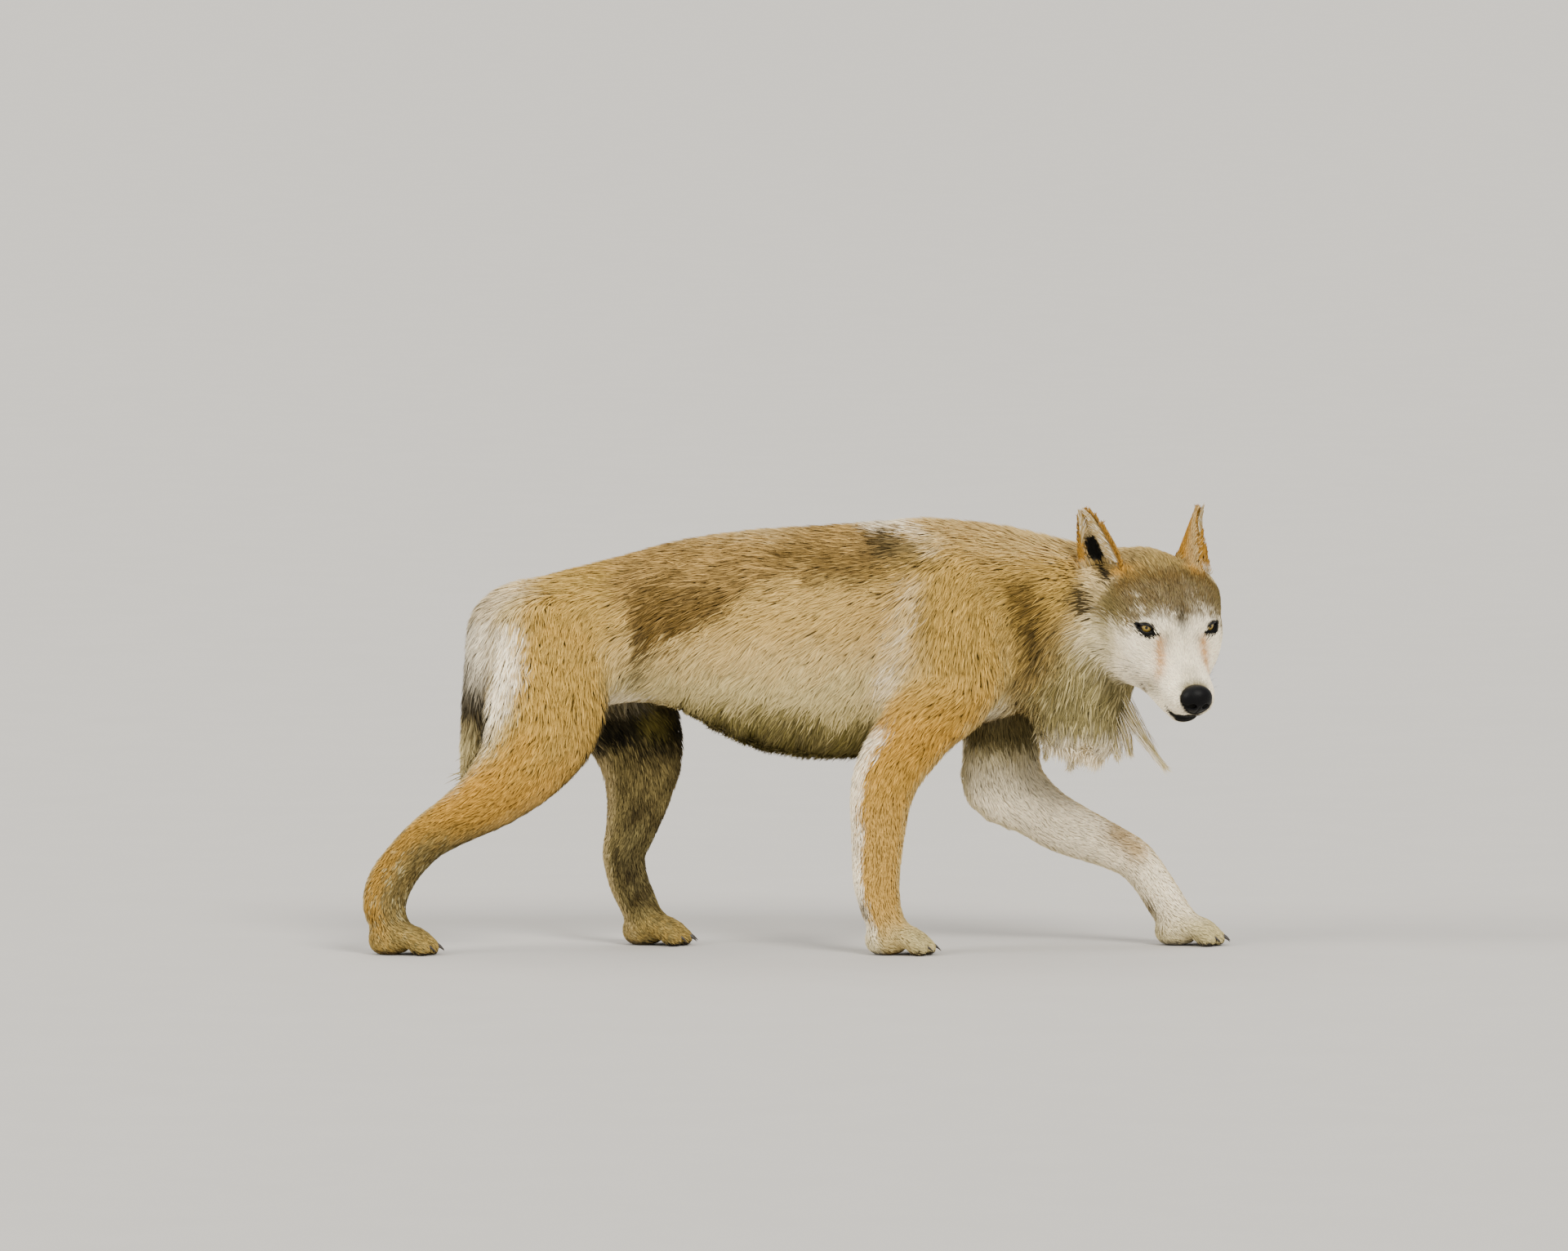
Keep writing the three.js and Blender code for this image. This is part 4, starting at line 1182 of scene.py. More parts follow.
def unwrap(p, names):
    """Each point's place on an unrolled skin: along its part, round it, one strip for each part."""
    d = distances(p)
    mine = d[:, [NAMES.index(n) for n in names]].argmin(axis=1)
    place = np.zeros((len(p), 2))
    for i, name in enumerate(names):
        live = mine == i
        if not live.any():
            continue
        shape = PARTS[name][0]
        if isinstance(shape, Row):
            _, where, _ = shape.locate(p[live])
            along, turn = where[:, 0], np.arctan2(where[:, 1], where[:, 2])
        else:
            q = shape.axes.inward(p[live])
            lo, hi = shape.shape.lo, shape.shape.hi
            along = (q[:, 0] - lo[0]) / (hi[0] - lo[0])
            turn = np.arctan2(q[:, 1], q[:, 2] + 10)
        place[live, 0] = 0.01 + 0.97 * (i + 0.02 + 0.96 * np.clip(along, 0, 1)) / len(names)
        place[live, 1] = 0.01 + 0.97 * (turn / (2 * np.pi) + 0.5)
    return place


def even_roots(points, triangles, spacing, rng):
    """Places on the skin about one spacing apart, as triangle numbers and weights of their corners."""
    a, b, c = (points[triangles[:, n]] for n in range(3))
    area = np.linalg.norm(np.cross(b - a, c - a), axis=1) / 2
    gap = spacing[triangles].mean(axis=1)
    wanted = area / gap**2 * 7
    wanted[gap > 90] = 0
    number = rng.poisson(wanted)
    which = np.repeat(np.arange(len(triangles)), number)
    r = rng.random((len(which), 2))
    flip = r.sum(axis=1) > 1
    r[flip] = 1 - r[flip]
    weights = np.stack([1 - r.sum(axis=1), r[:, 0], r[:, 1]], axis=1)
    at = (points[triangles[which]] * weights[:, :, None]).sum(axis=1)
    steps = gap[which]
    classes = np.round(np.log(steps / 2.0) / math.log(1.12)).astype(int)
    size = 2.0 * 1.12**classes * 1.18
    cell = np.floor(at / size[:, None]).astype(np.int64) + 4096
    key = ((cell[:, 0] * 8192 + cell[:, 1]) * 8192 + cell[:, 2]) * 64 + np.clip(classes, 0, 63)
    _, first = np.unique(key, return_index=True)
    first = np.sort(first)
    return which[first], weights[first]


def clump(p, size, seed):
    """A whole number for the lock of hair that each point belongs to."""
    warp = np.stack([ripple(p, size * 1.7, seed + s) for s in range(3)], axis=1) * size * 0.6
    cell = np.floor((p + warp) / size).astype(np.int64) + 512
    return (cell[:, 0] * 1024 + cell[:, 1]) * 1024 + cell[:, 2]


def hashed(key, seed):
    """An even random number from 0 to 1 for each whole number."""
    h = (key * 2654435761 + seed * 40503 + 12345) & 0xFFFFFFFF
    h = ((h ^ (h >> 15)) * 2246822519) & 0xFFFFFFFF
    h = ((h ^ (h >> 13)) * 3266489917) & 0xFFFFFFFF
    return ((h ^ (h >> 16)) & 0xFFFFFF) / float(1 << 24)


# How wide each tuft's patch of the UV map is.
PATCH = 0.003


def tufts(spine, over, width, tone, tip_tone, place, rng):
    """Closed tapering tufts of three sides, each from a hidden root through its rings to a tip.

    spine holds the stops of each tuft from root to tip, and over the way that its broad side faces. A tuft
    that lies flat is shaded like the skin under it, and one that stands up or hangs free like a round lock.
    Returns what mesh_object takes, as a dictionary.
    """
    count, stops = spine.shape[:2]
    way = unit(spine[:, -1] - spine[:, 1])
    free = ramp(0.3, 0.7, np.abs((over * way).sum(axis=1, keepdims=True))) * 0.9 + 0.1
    over = unit(over - way * (over * way).sum(axis=1, keepdims=True))
    side = np.cross(over, way)
    points, normals, under, share, round_ = [spine[:, 0]], [over], [-over], [0.0], [0.5]
    for n in range(1, stops - 1):
        half = (width / 2 * (1 - 0.3 * (n - 1)))[:, None]
        for u, v in ((-1.0, -0.15), (1.0, -0.15), (0.0, 0.4)):
            points.append(spine[:, n] + side * half * u + over * half * v)
            normals.append(unit(over * (1 - 0.8 * free * abs(u)) + side * (0.55 + 0.3 * free) * u))
            under.append(unit(side * 0.55 * u - over))
            share.append(n / (stops - 1))
            round_.append(0.5 + 0.5 * u)
    points.append(spine[:, -1])
    normals.append(over)
    under.append(-over)
    share, round_ = np.array(share + [1.0]), np.array(round_ + [0.5])
    per = len(points)
    faces = []
    for n in range(3):
        m = (n + 1) % 3
        faces.append((0, 1 + m, 1 + n))
        for ring in range(1, per - 4, 3):
            faces += [(ring + n, ring + m, ring + 3 + m), (ring + n, ring + 3 + m, ring + 3 + n)]
        faces.append((per - 4 + n, per - 4 + m, per - 1))
    faces = np.array(faces)
    triangles = (np.arange(count)[:, None, None] * per + faces[None]).reshape(-1, 3)
    # The under side of a tuft faces the other way, so that one seen from behind isn't black.
    facing = np.stack(normals, axis=1)[:, faces]
    below = len(faces) // 3
    facing[:, :below] = np.stack(under, axis=1)[:, faces[:below]]
    shade = 0.74 + 0.26 * np.minimum(share / 0.45, 1)
    blend = np.clip((share - 0.3) / 0.7, 0, 1)[None, :, None]
    colours = (tone[:, None] * (1 - blend) + tip_tone[:, None] * blend) * shade[None, :, None]
    corner = (place[:, None] + (np.stack([round_, share], axis=1) * PATCH - PATCH / 2)[None]).reshape(-1, 2)
    seed = rng.random((count, 1)) * 400
    strand = np.stack(
        [2 * round_[None] - 1 + seed, 1.2 * share[None] + 0.3 * seed, seed + 0 * share[None]], axis=2
    )
    return {
        "points": np.stack(points, axis=1).reshape(-1, 3),
        "triangles": triangles,
        "colours": colours.reshape(-1, 3),
        "uv": corner[triangles.ravel()],
        "normals": facing.reshape(-1, 3),
        "strand": strand.reshape(-1, 3),
    }


def laid(root, normal, way, length, lift, base, stops):
    """The stops of tufts that lie along the skin and rise from it towards their tips."""
    spine = [root - normal * 1.2]
    for s in stops:
        p = root + way * (length * s)[:, None] + normal * (lift * s**0.65)[:, None]
        fix = np.clip(lift * s**0.65 + base - skin(p), -length * 0.4, length * 0.4)
        p = p + normal * fix[:, None]
        p[:, 2] = np.maximum(p[:, 2], 0.8)
        spine.append(p)
    return np.stack(spine, axis=1)


# ---------------------------------------------------------------- materials
def grain_group():
    """Soft change of tone and a fine height: hair strands on tufts, pores on skin."""
    name = "hair grain"
    if name in bpy.data.node_groups:
        return bpy.data.node_groups[name]
    tree = bpy.data.node_groups.new(name, "ShaderNodeTree")
    for key, kind in (
        ("Vector", "NodeSocketVector"), ("Colour", "NodeSocketColor"), ("Scale", "NodeSocketFloat"),
        ("Contrast", "NodeSocketFloat")
    ):
        tree.interface.new_socket(key, in_out="INPUT", socket_type=kind)
    for key, kind in (("Colour", "NodeSocketColor"), ("Height", "NodeSocketFloat")):
        tree.interface.new_socket(key, in_out="OUTPUT", socket_type=kind)
    new, link = tree.nodes.new, tree.links.new
    source, sink = new("NodeGroupInput"), new("NodeGroupOutput")
    noise = new("ShaderNodeTexNoise")
    noise.inputs["Detail"].default_value = 3
    noise.inputs["Roughness"].default_value = 0.6
    spread = new("ShaderNodeMapRange")
    low, high = new("ShaderNodeMath"), new("ShaderNodeMath")
    low.operation, high.operation = "SUBTRACT", "ADD"
    low.inputs[0].default_value = high.inputs[0].default_value = 1.0
    blend = new("ShaderNodeVectorMath")
    blend.operation = "SCALE"
    link(source.outputs["Vector"], noise.inputs["Vector"])
    link(source.outputs["Scale"], noise.inputs["Scale"])
    link(source.outputs["Contrast"], low.inputs[1])
    link(source.outputs["Contrast"], high.inputs[1])
    link(noise.outputs["Fac"], spread.inputs["Value"])
    spread.inputs["From Min"].default_value = 0.3
    spread.inputs["From Max"].default_value = 0.7
    link(low.outputs[0], spread.inputs["To Min"])
    link(high.outputs[0], spread.inputs["To Max"])
    link(source.outputs["Colour"], blend.inputs[0])
    link(spread.outputs[0], blend.inputs["Scale"])
    link(blend.outputs[0], sink.inputs["Colour"])
    link(noise.outputs["Fac"], sink.inputs["Height"])
    return tree


def material(name, roughness, scale, contrast, depth, vector="object", colour=None, settings=None):
    """A finish whose colour comes from the piece's own markings, or is one colour with grain."""
    made = bpy.data.materials.new(name)
    made.use_nodes = True
    nodes, link = made.node_tree.nodes, made.node_tree.links.new
    surface = nodes["Principled BSDF"]
    surface.inputs["Roughness"].default_value = roughness
    for key, value in (settings or {}).items():
        surface.inputs[key].default_value = value
    grain = nodes.new("ShaderNodeGroup")
    grain.node_tree = grain_group()
    grain.inputs["Scale"].default_value = scale
    grain.inputs["Contrast"].default_value = contrast
    if vector == "strand":
        along = nodes.new("ShaderNodeAttribute")
        along.attribute_name = "strand"
        link(along.outputs["Vector"], grain.inputs["Vector"])
    else:
        place = nodes.new("ShaderNodeTexCoord")
        link(place.outputs["Object"], grain.inputs["Vector"])
    if colour is None:
        tone = nodes.new("ShaderNodeAttribute")
        tone.attribute_name = "coat_colour"
        link(tone.outputs["Color"], grain.inputs["Colour"])
    else:
        grain.inputs["Colour"].default_value = (*colour, 1)
    bumps = nodes.new("ShaderNodeBump")
    bumps.inputs["Strength"].default_value = 0.6
    bumps.inputs["Distance"].default_value = depth
    link(grain.outputs["Colour"], surface.inputs["Base Color"])
    link(grain.outputs["Height"], bumps.inputs["Height"])
    link(bumps.outputs["Normal"], surface.inputs["Normal"])
    return made


def shown(piece, slot, *nodes):
    """A finished piece of the wolf: it rides on the body and stands for its CAD nodes."""
    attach(piece, "root")
    if nodes:
        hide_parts(*nodes)


# ---------------------------------------------------------------- settings
LENGTH = {"unit": "LENGTH", "subtype": "DISTANCE"}


class WolfCoatSettings(bpy.types.PropertyGroup):
    length: bpy.props.FloatProperty(
        name="Length", description="Length of the tufts, as a share of the wolf's own", default=1.0, min=0.3,
        max=2.0
    )
    width: bpy.props.FloatProperty(
        name="Width", description="Width of the tufts, as a share of the wolf's own", default=1.0, min=0.3,
        max=2.0
    )
    spacing: bpy.props.FloatProperty(
        name="Spacing", description="Distance between the roots of the tufts, as a share of the wolf's own",
        default=1.0, min=0.8, max=3.0
    )
    contrast: bpy.props.FloatProperty(
        name="Grizzle", description="How much the tufts differ in tone", default=0.13, min=0.0, max=0.5
    )
    seed: bpy.props.IntProperty(
        name="Seed", description="Start of the random numbers of the coat", default=7
    )


class WolfSkinSettings(bpy.types.PropertyGroup):
    fine: bpy.props.FloatProperty(
        name="Fine face", description="Size of the faces on the head", default=0.0029, min=0.002, max=0.01,
        **LENGTH
    )
    coarse: bpy.props.FloatProperty(
        name="Coarse face", description="Size of the faces on the body", default=0.0085, min=0.004, max=0.02,
        **LENGTH
    )


class WolfFaceSettings(bpy.types.PropertyGroup):
    iris: bpy.props.FloatVectorProperty(
        name="Iris", description="Colour of the iris", default=(0.40, 0.27, 0.055), min=0, max=1,
        subtype="COLOR"
    )
    pupil: bpy.props.FloatProperty(
        name="Pupil", description="Radius of the pupil", default=0.0024, min=0.001, max=0.006, **LENGTH
    )
    nose: bpy.props.FloatVectorProperty(
        name="Nose", description="Colour of the nose's bare skin", default=(0.002, 0.002, 0.0024), min=0,
        max=1, subtype="COLOR"
    )
    whisker: bpy.props.FloatProperty(
        name="Whiskers", description="Length of the longest whiskers", default=0.048, min=0.01, max=0.09,
        **LENGTH
    )


class WolfClawSettings(bpy.types.PropertyGroup):
    length: bpy.props.FloatProperty(
        name="Length", description="Length of a claw from its root inside the toe", default=0.0195, min=0.01,
        max=0.04, **LENGTH
    )
    radius: bpy.props.FloatProperty(
        name="Radius", description="Radius of a claw at its root", default=0.0033, min=0.001, max=0.006,
        **LENGTH
    )
    colour: bpy.props.FloatVectorProperty(
        name="Colour", description="Colour of the horn", default=(0.035, 0.028, 0.022), min=0, max=1,
        subtype="COLOR"
    )


class WolfStageSettings(bpy.types.PropertyGroup):
    floor: bpy.props.FloatVectorProperty(
        name="Floor", description="Colour of the floor", default=(0.53, 0.515, 0.49), min=0, max=1,
        subtype="COLOR"
    )
    light: bpy.props.FloatProperty(
        name="Light", description="Strength of the studio light", default=1.0, min=0.1, max=4.0
    )
    distance: bpy.props.FloatProperty(
        name="Camera distance", description="From the camera to the wolf", default=24.0, min=5.0, max=40.0,
        **LENGTH
    )


# ---------------------------------------------------------------- the skin, kept for what grows from it
BARE = {}
# The reach of the skin's grid along each axis, and of the finer grid round the head, in millimetres.
BODY_REACH = ((-700, 690), (-222, 138), (-8, 712))
HEAD_REACH = ((484, 716), (-216, 56), (402, 712))


def bare_skin():
    """Points, triangles and outward normals of the skin, made once."""
    if not BARE:
        sizes = bpy.context.scene.wolf_skin
        more = 1.0
        fine, coarse = sizes.fine * 1000 * more, sizes.coarse * 1000 * more
        marks = [
            axis_marks(*body, *head, coarse, fine) for body, head in zip(BODY_REACH, HEAD_REACH)
        ]
        points, triangles = surface_net(skin, marks, steps=2)
        normals = vertex_normals(points, triangles)
        BARE.update(points=points, triangles=triangles, normals=normals)
    return BARE["points"], BARE["triangles"], BARE["normals"]


def coat_sizes(p):
    """Spacing, length, width and lift of the tufts at each point, and the number of their region."""
    d = distances(p)
    w = shares(d)
    q = HEAD.inward(p)
    f, u = q[:, 0], q[:, 2]
    z = p[:, 2]
    high = ramp(180, 420, z)
    leg = share_of(w, *LEG_NAMES)
    paw = share_of(w, *("paw_" + n for n in LEG_NAMES))
    trunk, neck, ruff, tail, head = (share_of(w, n) for n in ("trunk", "neck", "ruff", "tail", "head"))
    back = ramp(30, -60, f)
    cheek = back * ramp(45, 0, u)
    belly = ramp(390, 340, z) * ramp(-300, -220, p[:, 0]) * ramp(220, 120, p[:, 0])
    face_length = 5.5 + 5 * ramp(120, 40, f) + 5 * back + 16 * cheek
    length = trunk * (34 + 20 * belly) + neck * 40 + ruff * 50 + tail * 46 + leg * (12 + 16 * high) + paw * 8
    length += head * face_length
    width = trunk * 3.1 + neck * 3.3 + ruff * 3.2 + tail * 3.6 + leg * (2.5 + 1.2 * high) + paw * 2.3
    width += head * (1.5 + 0.9 * back + 0.9 * cheek)
    gap = trunk * 3.05 + neck * 3.15 + ruff * 3.3 + tail * 3.5 + leg * (2.7 + 0.7 * high) + paw * 2.6
    gap += head * (2.0 + 0.5 * back + 0.6 * cheek)
    lift = coat_depth(p, d)
    mine = d.argmin(axis=1)
    region = np.full(len(p), REGIONS.index("coat_flanks"))
    trunk_here = mine == NAMES.index("trunk")
    region[trunk_here & (p[:, 0] > 110)] = REGIONS.index("coat_shoulders")
    region[trunk_here & (p[:, 0] < -190)] = REGIONS.index("coat_rump")
    for name in ("neck", "ruff", "tail", "head"):
        region[mine == NAMES.index(name)] = REGIONS.index("coat_" + name)
    for name in LEG_NAMES:
        region[mine == NAMES.index(name)] = REGIONS.index(
            "coat_forelegs" if name.startswith("fore") else "coat_hindlegs"
        )
        region[mine == NAMES.index("paw_" + name)] = REGIONS.index("coat_paws")
    ear_here = np.zeros(len(p), bool)
    for ear in EAR_SHAPES.values():
        h, across, half, _ = ear.locate(q)
        off = ear.distance(q)
        root = ramp(42, 8, off) * ramp(0.7, 0.3, h)
        length = length * (1 - 0.62 * root)
        lift = lift * (1 - 0.45 * root)
        on = (off < 2.5) & (h > 0.02)
        ear_here |= on
        rim = ramp(0.6, 0.95, np.abs(across) / half)
        length = np.where(on, 6.5 + 1.5 * rim, length)
        width = np.where(on, 1.9, width)
        gap = np.where(on, 2.5, gap)
        lift = np.where(on, 1.2 + 0.3 * rim, lift)
    region[ear_here] = REGIONS.index("coat_ears")
    return gap, length, width, lift, region


def bald(p):
    """Where no hair grows: lids, lips, the nose and the soles."""
    q = HEAD.inward(p)
    none = p[:, 2] < 2.5
    near = np.linalg.norm(q, axis=1) < 260
    for side in EYES:
        lens, out = lid_distance(q, side)
        none |= near & (lens < 2.6) & (out > 2)
    lip = lip_distance(q)
    none |= near & (lip < 1.6 + 3 * ramp(130, 160, q[:, 0]) + 18 * ramp(152, 164, q[:, 0]))
    nose = ellipsoid(*(q - NOSE[0]).T, *(r + 1.0 for r in NOSE[1]))
    return none | (near & (nose < 0))


# The pieces of the coat, and the parts that each one's UV map unrolls, a strip for each.
STRIPS = {
    "coat_head": ["head"],
    "coat_ears": ["head"],
    "coat_neck": ["neck"],
    "coat_ruff": ["ruff"],
    "coat_shoulders": ["trunk"],
    "coat_flanks": ["trunk"],
    "coat_rump": ["trunk"],
    "coat_forelegs": ["foreleg_right", "foreleg_left"],
    "coat_hindlegs": ["hindleg_right", "hindleg_left"],
    "coat_paws": ["paw_" + n for n in LEG_NAMES],
    "coat_tail": ["tail"],
}
REGIONS = list(STRIPS)


def ear_unwrap(p):
    q = HEAD.inward(p)
    place = np.zeros((len(p), 2))
    best = np.full(len(p), FAR)
    for i, ear in enumerate(EAR_SHAPES.values()):
        h, u, _, o = ear.locate(q)
        value = np.abs(ear.distance(q))
        mine = value < best
        best = np.where(mine, value, best)
        strip = 2 * i + (o > 0)
        at = np.stack(
            [(strip + 0.5 + 0.46 * np.clip(u / 44, -1, 1)) / 4, 0.05 + 0.9 * np.clip(h, 0, 1)], axis=1
        )
        place[mine] = at[mine]
    return place


# ---------------------------------------------------------------- the pieces
class WOLF_OT_skin(bpy.types.Operator):
    """Make the one skin of the wolf's head, trunk, legs, tail and ears"""

    bl_idname = "wolf.skin"
    bl_label = "Skin"

    def execute(self, context):
        points, triangles, normals = bare_skin()
        finish = material("skin and underfur", 0.85, 420, 0.22, 0.0012, settings={"Specular IOR Level": 0.2})
        # The skin and underfur take the coat's markings a fifth darker: painted shade down among the tufts.
        colours = markings(points, normals) * 0.8
        piece = mesh_object("skin", points, triangles, finish, colours)
        flesh = [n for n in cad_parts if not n.startswith(("eye_", "claw_", "nose"))]
        shown(piece, "coat", *flesh)
        return {"FINISHED"}


class WOLF_OT_coat(bpy.types.Operator):
    """Grow the coat over the skin, region by region, as joined meshes of tufts"""

    bl_idname = "wolf.coat"
    bl_label = "Coat"

    def execute(self, context):
        sizes = context.scene.wolf_coat
        points, triangles, normals = bare_skin()
        rng = np.random.default_rng(sizes.seed)
        gap, length, width, lift, region = coat_sizes(points)
        gap = gap * sizes.spacing * 1.0
        which, weights = even_roots(points, triangles, gap, rng)
        corner = triangles[which]

        def at_root(values):
            v = values[corner]
            return (v * (weights[:, :, None] if v.ndim == 3 else weights)).sum(axis=1)

        root = at_root(points)
        keep = ~bald(root)
        which, weights, corner, root = which[keep], weights[keep], corner[keep], root[keep]
        normal = unit(at_root(normals))
        length, width, lift = at_root(length) * sizes.length, at_root(width) * sizes.width, at_root(lift)
        mine = region[corner[:, 0]]
        way = lie(root, normal)
        big, small = clump(root, 24, 81), clump(root, 10, 85)
        lean = np.stack([hashed(big, s) - 0.5 for s in (1, 2, 3)], axis=1) * 0.34
        lean += np.stack([hashed(small, s) - 0.5 for s in (4, 5, 6)], axis=1) * 0.32
        lean += rng.normal(0, 0.09, root.shape)
        way = way + lean * (0.35 + 0.65 * ramp(6, 26, length)[:, None])
        way = unit(way - normal * (way * normal).sum(axis=1, keepdims=True))
        length = length * (0.8 + 0.25 * hashed(big, 7) + 0.3 * rng.random(len(root)))
        # Each tuft has the colour of where its outer part lies, a little astray so that markings blend.
        astray = rng.normal(0, 1, root.shape) * np.clip(length * 0.22, 0.8, 8)[:, None]
        tone = markings(
            root + way * (0.78 * length)[:, None] + normal * (0.8 * lift)[:, None] + astray, normal, root
        )
        width = width * (0.8 + 0.4 * rng.random(len(root))) * 1.0
        lift = lift * (0.66 + 0.2 * hashed(small, 8) + 0.36 * rng.random(len(root)))
        change = (
            (hashed(big, 9) - 0.5) * 0.7 + (hashed(small, 10) - 0.5) * 0.9 + rng.normal(0, 0.4, len(root))
        )
        tone = tone * (1 + sizes.contrast * change)[:, None]
        # Dark and pale ends of single hairs, most of them where the coat is dark.
        deep = ramp(0.34, 0.14, tone.mean(axis=1))
        pick = rng.random(len(root))
        ends = 1.12 + 0.12 * rng.random(len(root))
        ends = np.where(pick < 0.1 + 0.14 * deep, 0.6, np.where(pick > 1 - 0.22 * deep, 1.9, ends))
        tip = tone * ends[:, None]
        finish = coat_finish()
        base = skin(root)
        for number, name in enumerate(REGIONS):
            live = mine == number
            if not live.any():
                continue
            stops = (0.3, 0.65, 1.0) if name in ("coat_ruff", "coat_tail") else (0.38, 1.0)
            spine = laid(root[live], normal[live], way[live], length[live], lift[live], base[live], stops)
            place = ear_unwrap(root[live]) if name == "coat_ears" else unwrap(root[live], STRIPS[name])
            made = tufts(spine, normal[live], width[live], tone[live], tip[live], place, rng)
            shown(mesh_object(name, material=finish, **made), "coat")
        return {"FINISHED"}


def coat_finish():
    if "hair tufts" in bpy.data.materials:
        return bpy.data.materials["hair tufts"]
    return material(
        "hair tufts", 0.7, 3.0, 0.25, 0.0003, vector="strand", settings={"Specular IOR Level": 0.1}
    )


# The stops of a strand that hangs free, from root to tip.
STOPS = (0, 0.34, 0.67, 1.0)


def ruff_strands(rng):
    """Strands of the locks that end the ruff: the stops of each, its facing, its width and its tone."""
    strands = []
    for pins in LOCKS:
        line = refine(pins, 6)
        for _ in range(190):
            t0 = rng.random() ** 1.3 * 0.8
            t1 = min(t0 + 0.25 + 0.5 * rng.random(), 1.0)
            turn, far = rng.random() * 6.28, math.sqrt(rng.random())
            drift = rng.normal(0, 4.0, 3)
            out = (math.cos(turn), math.sin(turn), 0.1 * math.sin(3 * turn))
            strand = []
            for s in STOPS:
                t = (t0 + (t1 - t0) * s) * (len(line) - 1)
                n = min(int(t), len(line) - 2)
                pin = line[n] + (line[n + 1] - line[n]) * (t - n)
                reach = pin[3] * far * (0.9 + 0.15 * s)
                strand.append(pin[:3] + reach * np.array(out) + drift * s * s)
            width = 1.0 + 0.8 * rng.random()
            tone = TONES["white" if rng.random() < 0.65 else "cream"] * (0.78 + 0.27 * rng.random())
            strands.append((strand, out, width, tone))
    return strands


def ear_strands(rng):
    """Strands from the rims of the ears across their hollows. None crosses the painted shade of the slit
    inside an ear.
    """
    strands = []
    for side, ear in EAR_SHAPES.items():
        for _ in range(900):
            h = 0.07 + rng.random() ** 1.2 * 0.8
            front = 1 if rng.random() < 0.6 else -1
            u0 = ear.half_width(h) * (0.78 - 0.25 * rng.random()) * front
            sweep = -(0.3 + 0.4 * rng.random()) * ear.half_width(h) * front
            rise = 12 + 14 * rng.random()
            strand, crossing = [], False
            for s in STOPS:
                hh = h + rise / ear.length * s
                half = ear.half_width(min(hh, 0.98))
                u = float(np.clip(u0 + sweep * s**1.2, -0.8 * half, 0.8 * half))
                off = 5 * math.sin(min(s * 2.2, 1.57)) * (0.6 + 0.4 * rng.random())
                o = ear.depth(hh, u) + EAR_WALL / 2 + 0.2 + off
                at = ear.at + ear.up * hh * ear.length + ear.across * u + ear.open * o
                strand.append(HEAD.outward(at))
                crossing |= -0.66 < -SIGNS[side] * u / half < 0.06 and hh < 0.6
            if crossing:
                continue
            width = 1.2 + 0.7 * rng.random()
            tone = TONES[("white", "pale", "pale", "tan")[rng.integers(4)]] * (0.6 + 0.4 * rng.random())
            strands.append((strand, ear.open @ HEAD.turn, width, tone))
    return strands


def hung(strands, name, rng):
    """A piece of the coat from free strands, each on a patch of its own of a square chart."""
    lines, faces, thick, tones = (np.array(column) for column in zip(*strands))
    count = len(lines)
    side = int(math.ceil(math.sqrt(count)))
    place = (np.stack([np.arange(count) % side, np.arange(count) // side], axis=1) + 0.5) / side
    made = tufts(lines, faces, thick, tones, tones * 1.15, place * 0.98 + 0.01, rng)
    shown(mesh_object(name, material=coat_finish(), **made), "coat")


class WOLF_OT_locks(bpy.types.Operator):
    """Hang the long locks that end the ruff and the long hair inside the ears"""

    bl_idname = "wolf.locks"
    bl_label = "Locks and ear hair"

    def execute(self, context):
        rng = np.random.default_rng(context.scene.wolf_coat.seed + 1)
        hung(ruff_strands(rng), "ruff_locks", rng)
        hung(ear_strands(rng), "ear_hair", rng)
        return {"FINISHED"}


def ring_mesh(rings, closed_ends=True):
    """Points and triangles of a tube through rings of equally many points."""
    rings = np.asarray(rings)
    count, sides = rings.shape[:2]
    points = rings.reshape(-1, 3)
    triangles = []
    for i in range(count - 1):
        for j in range(sides):
            k = (j + 1) % sides
            a, b, c, d = i * sides + j, i * sides + k, (i + 1) * sides + k, (i + 1) * sides + j
            triangles += [(a, b, c), (a, c, d)]
    if closed_ends:
        for ring, turned in ((0, True), (count - 1, False)):
            middle = len(points)
            points = np.vstack([points, rings[ring].mean(axis=0)])
            for j in range(sides):
                a, b = ring * sides + j, ring * sides + (j + 1) % sides
                triangles.append((b, a, middle) if turned else (a, b, middle))
    return points, np.array(triangles)


# The way that both eyes look, in the head's axes, and how far each turns from its own gaze towards it.
LOOK = unit((0.76, -0.375, 0.53))
LOOK_SHARES = {"right": (0.45, 0.55), "left": (0.62, 0.38)}
# How finely eyes and lids are divided.
EYE_RINGS, IRIS_RINGS, EYE_SIDES = 60, 36, 72
LID_STEPS, LID_SIDES = 96, 10


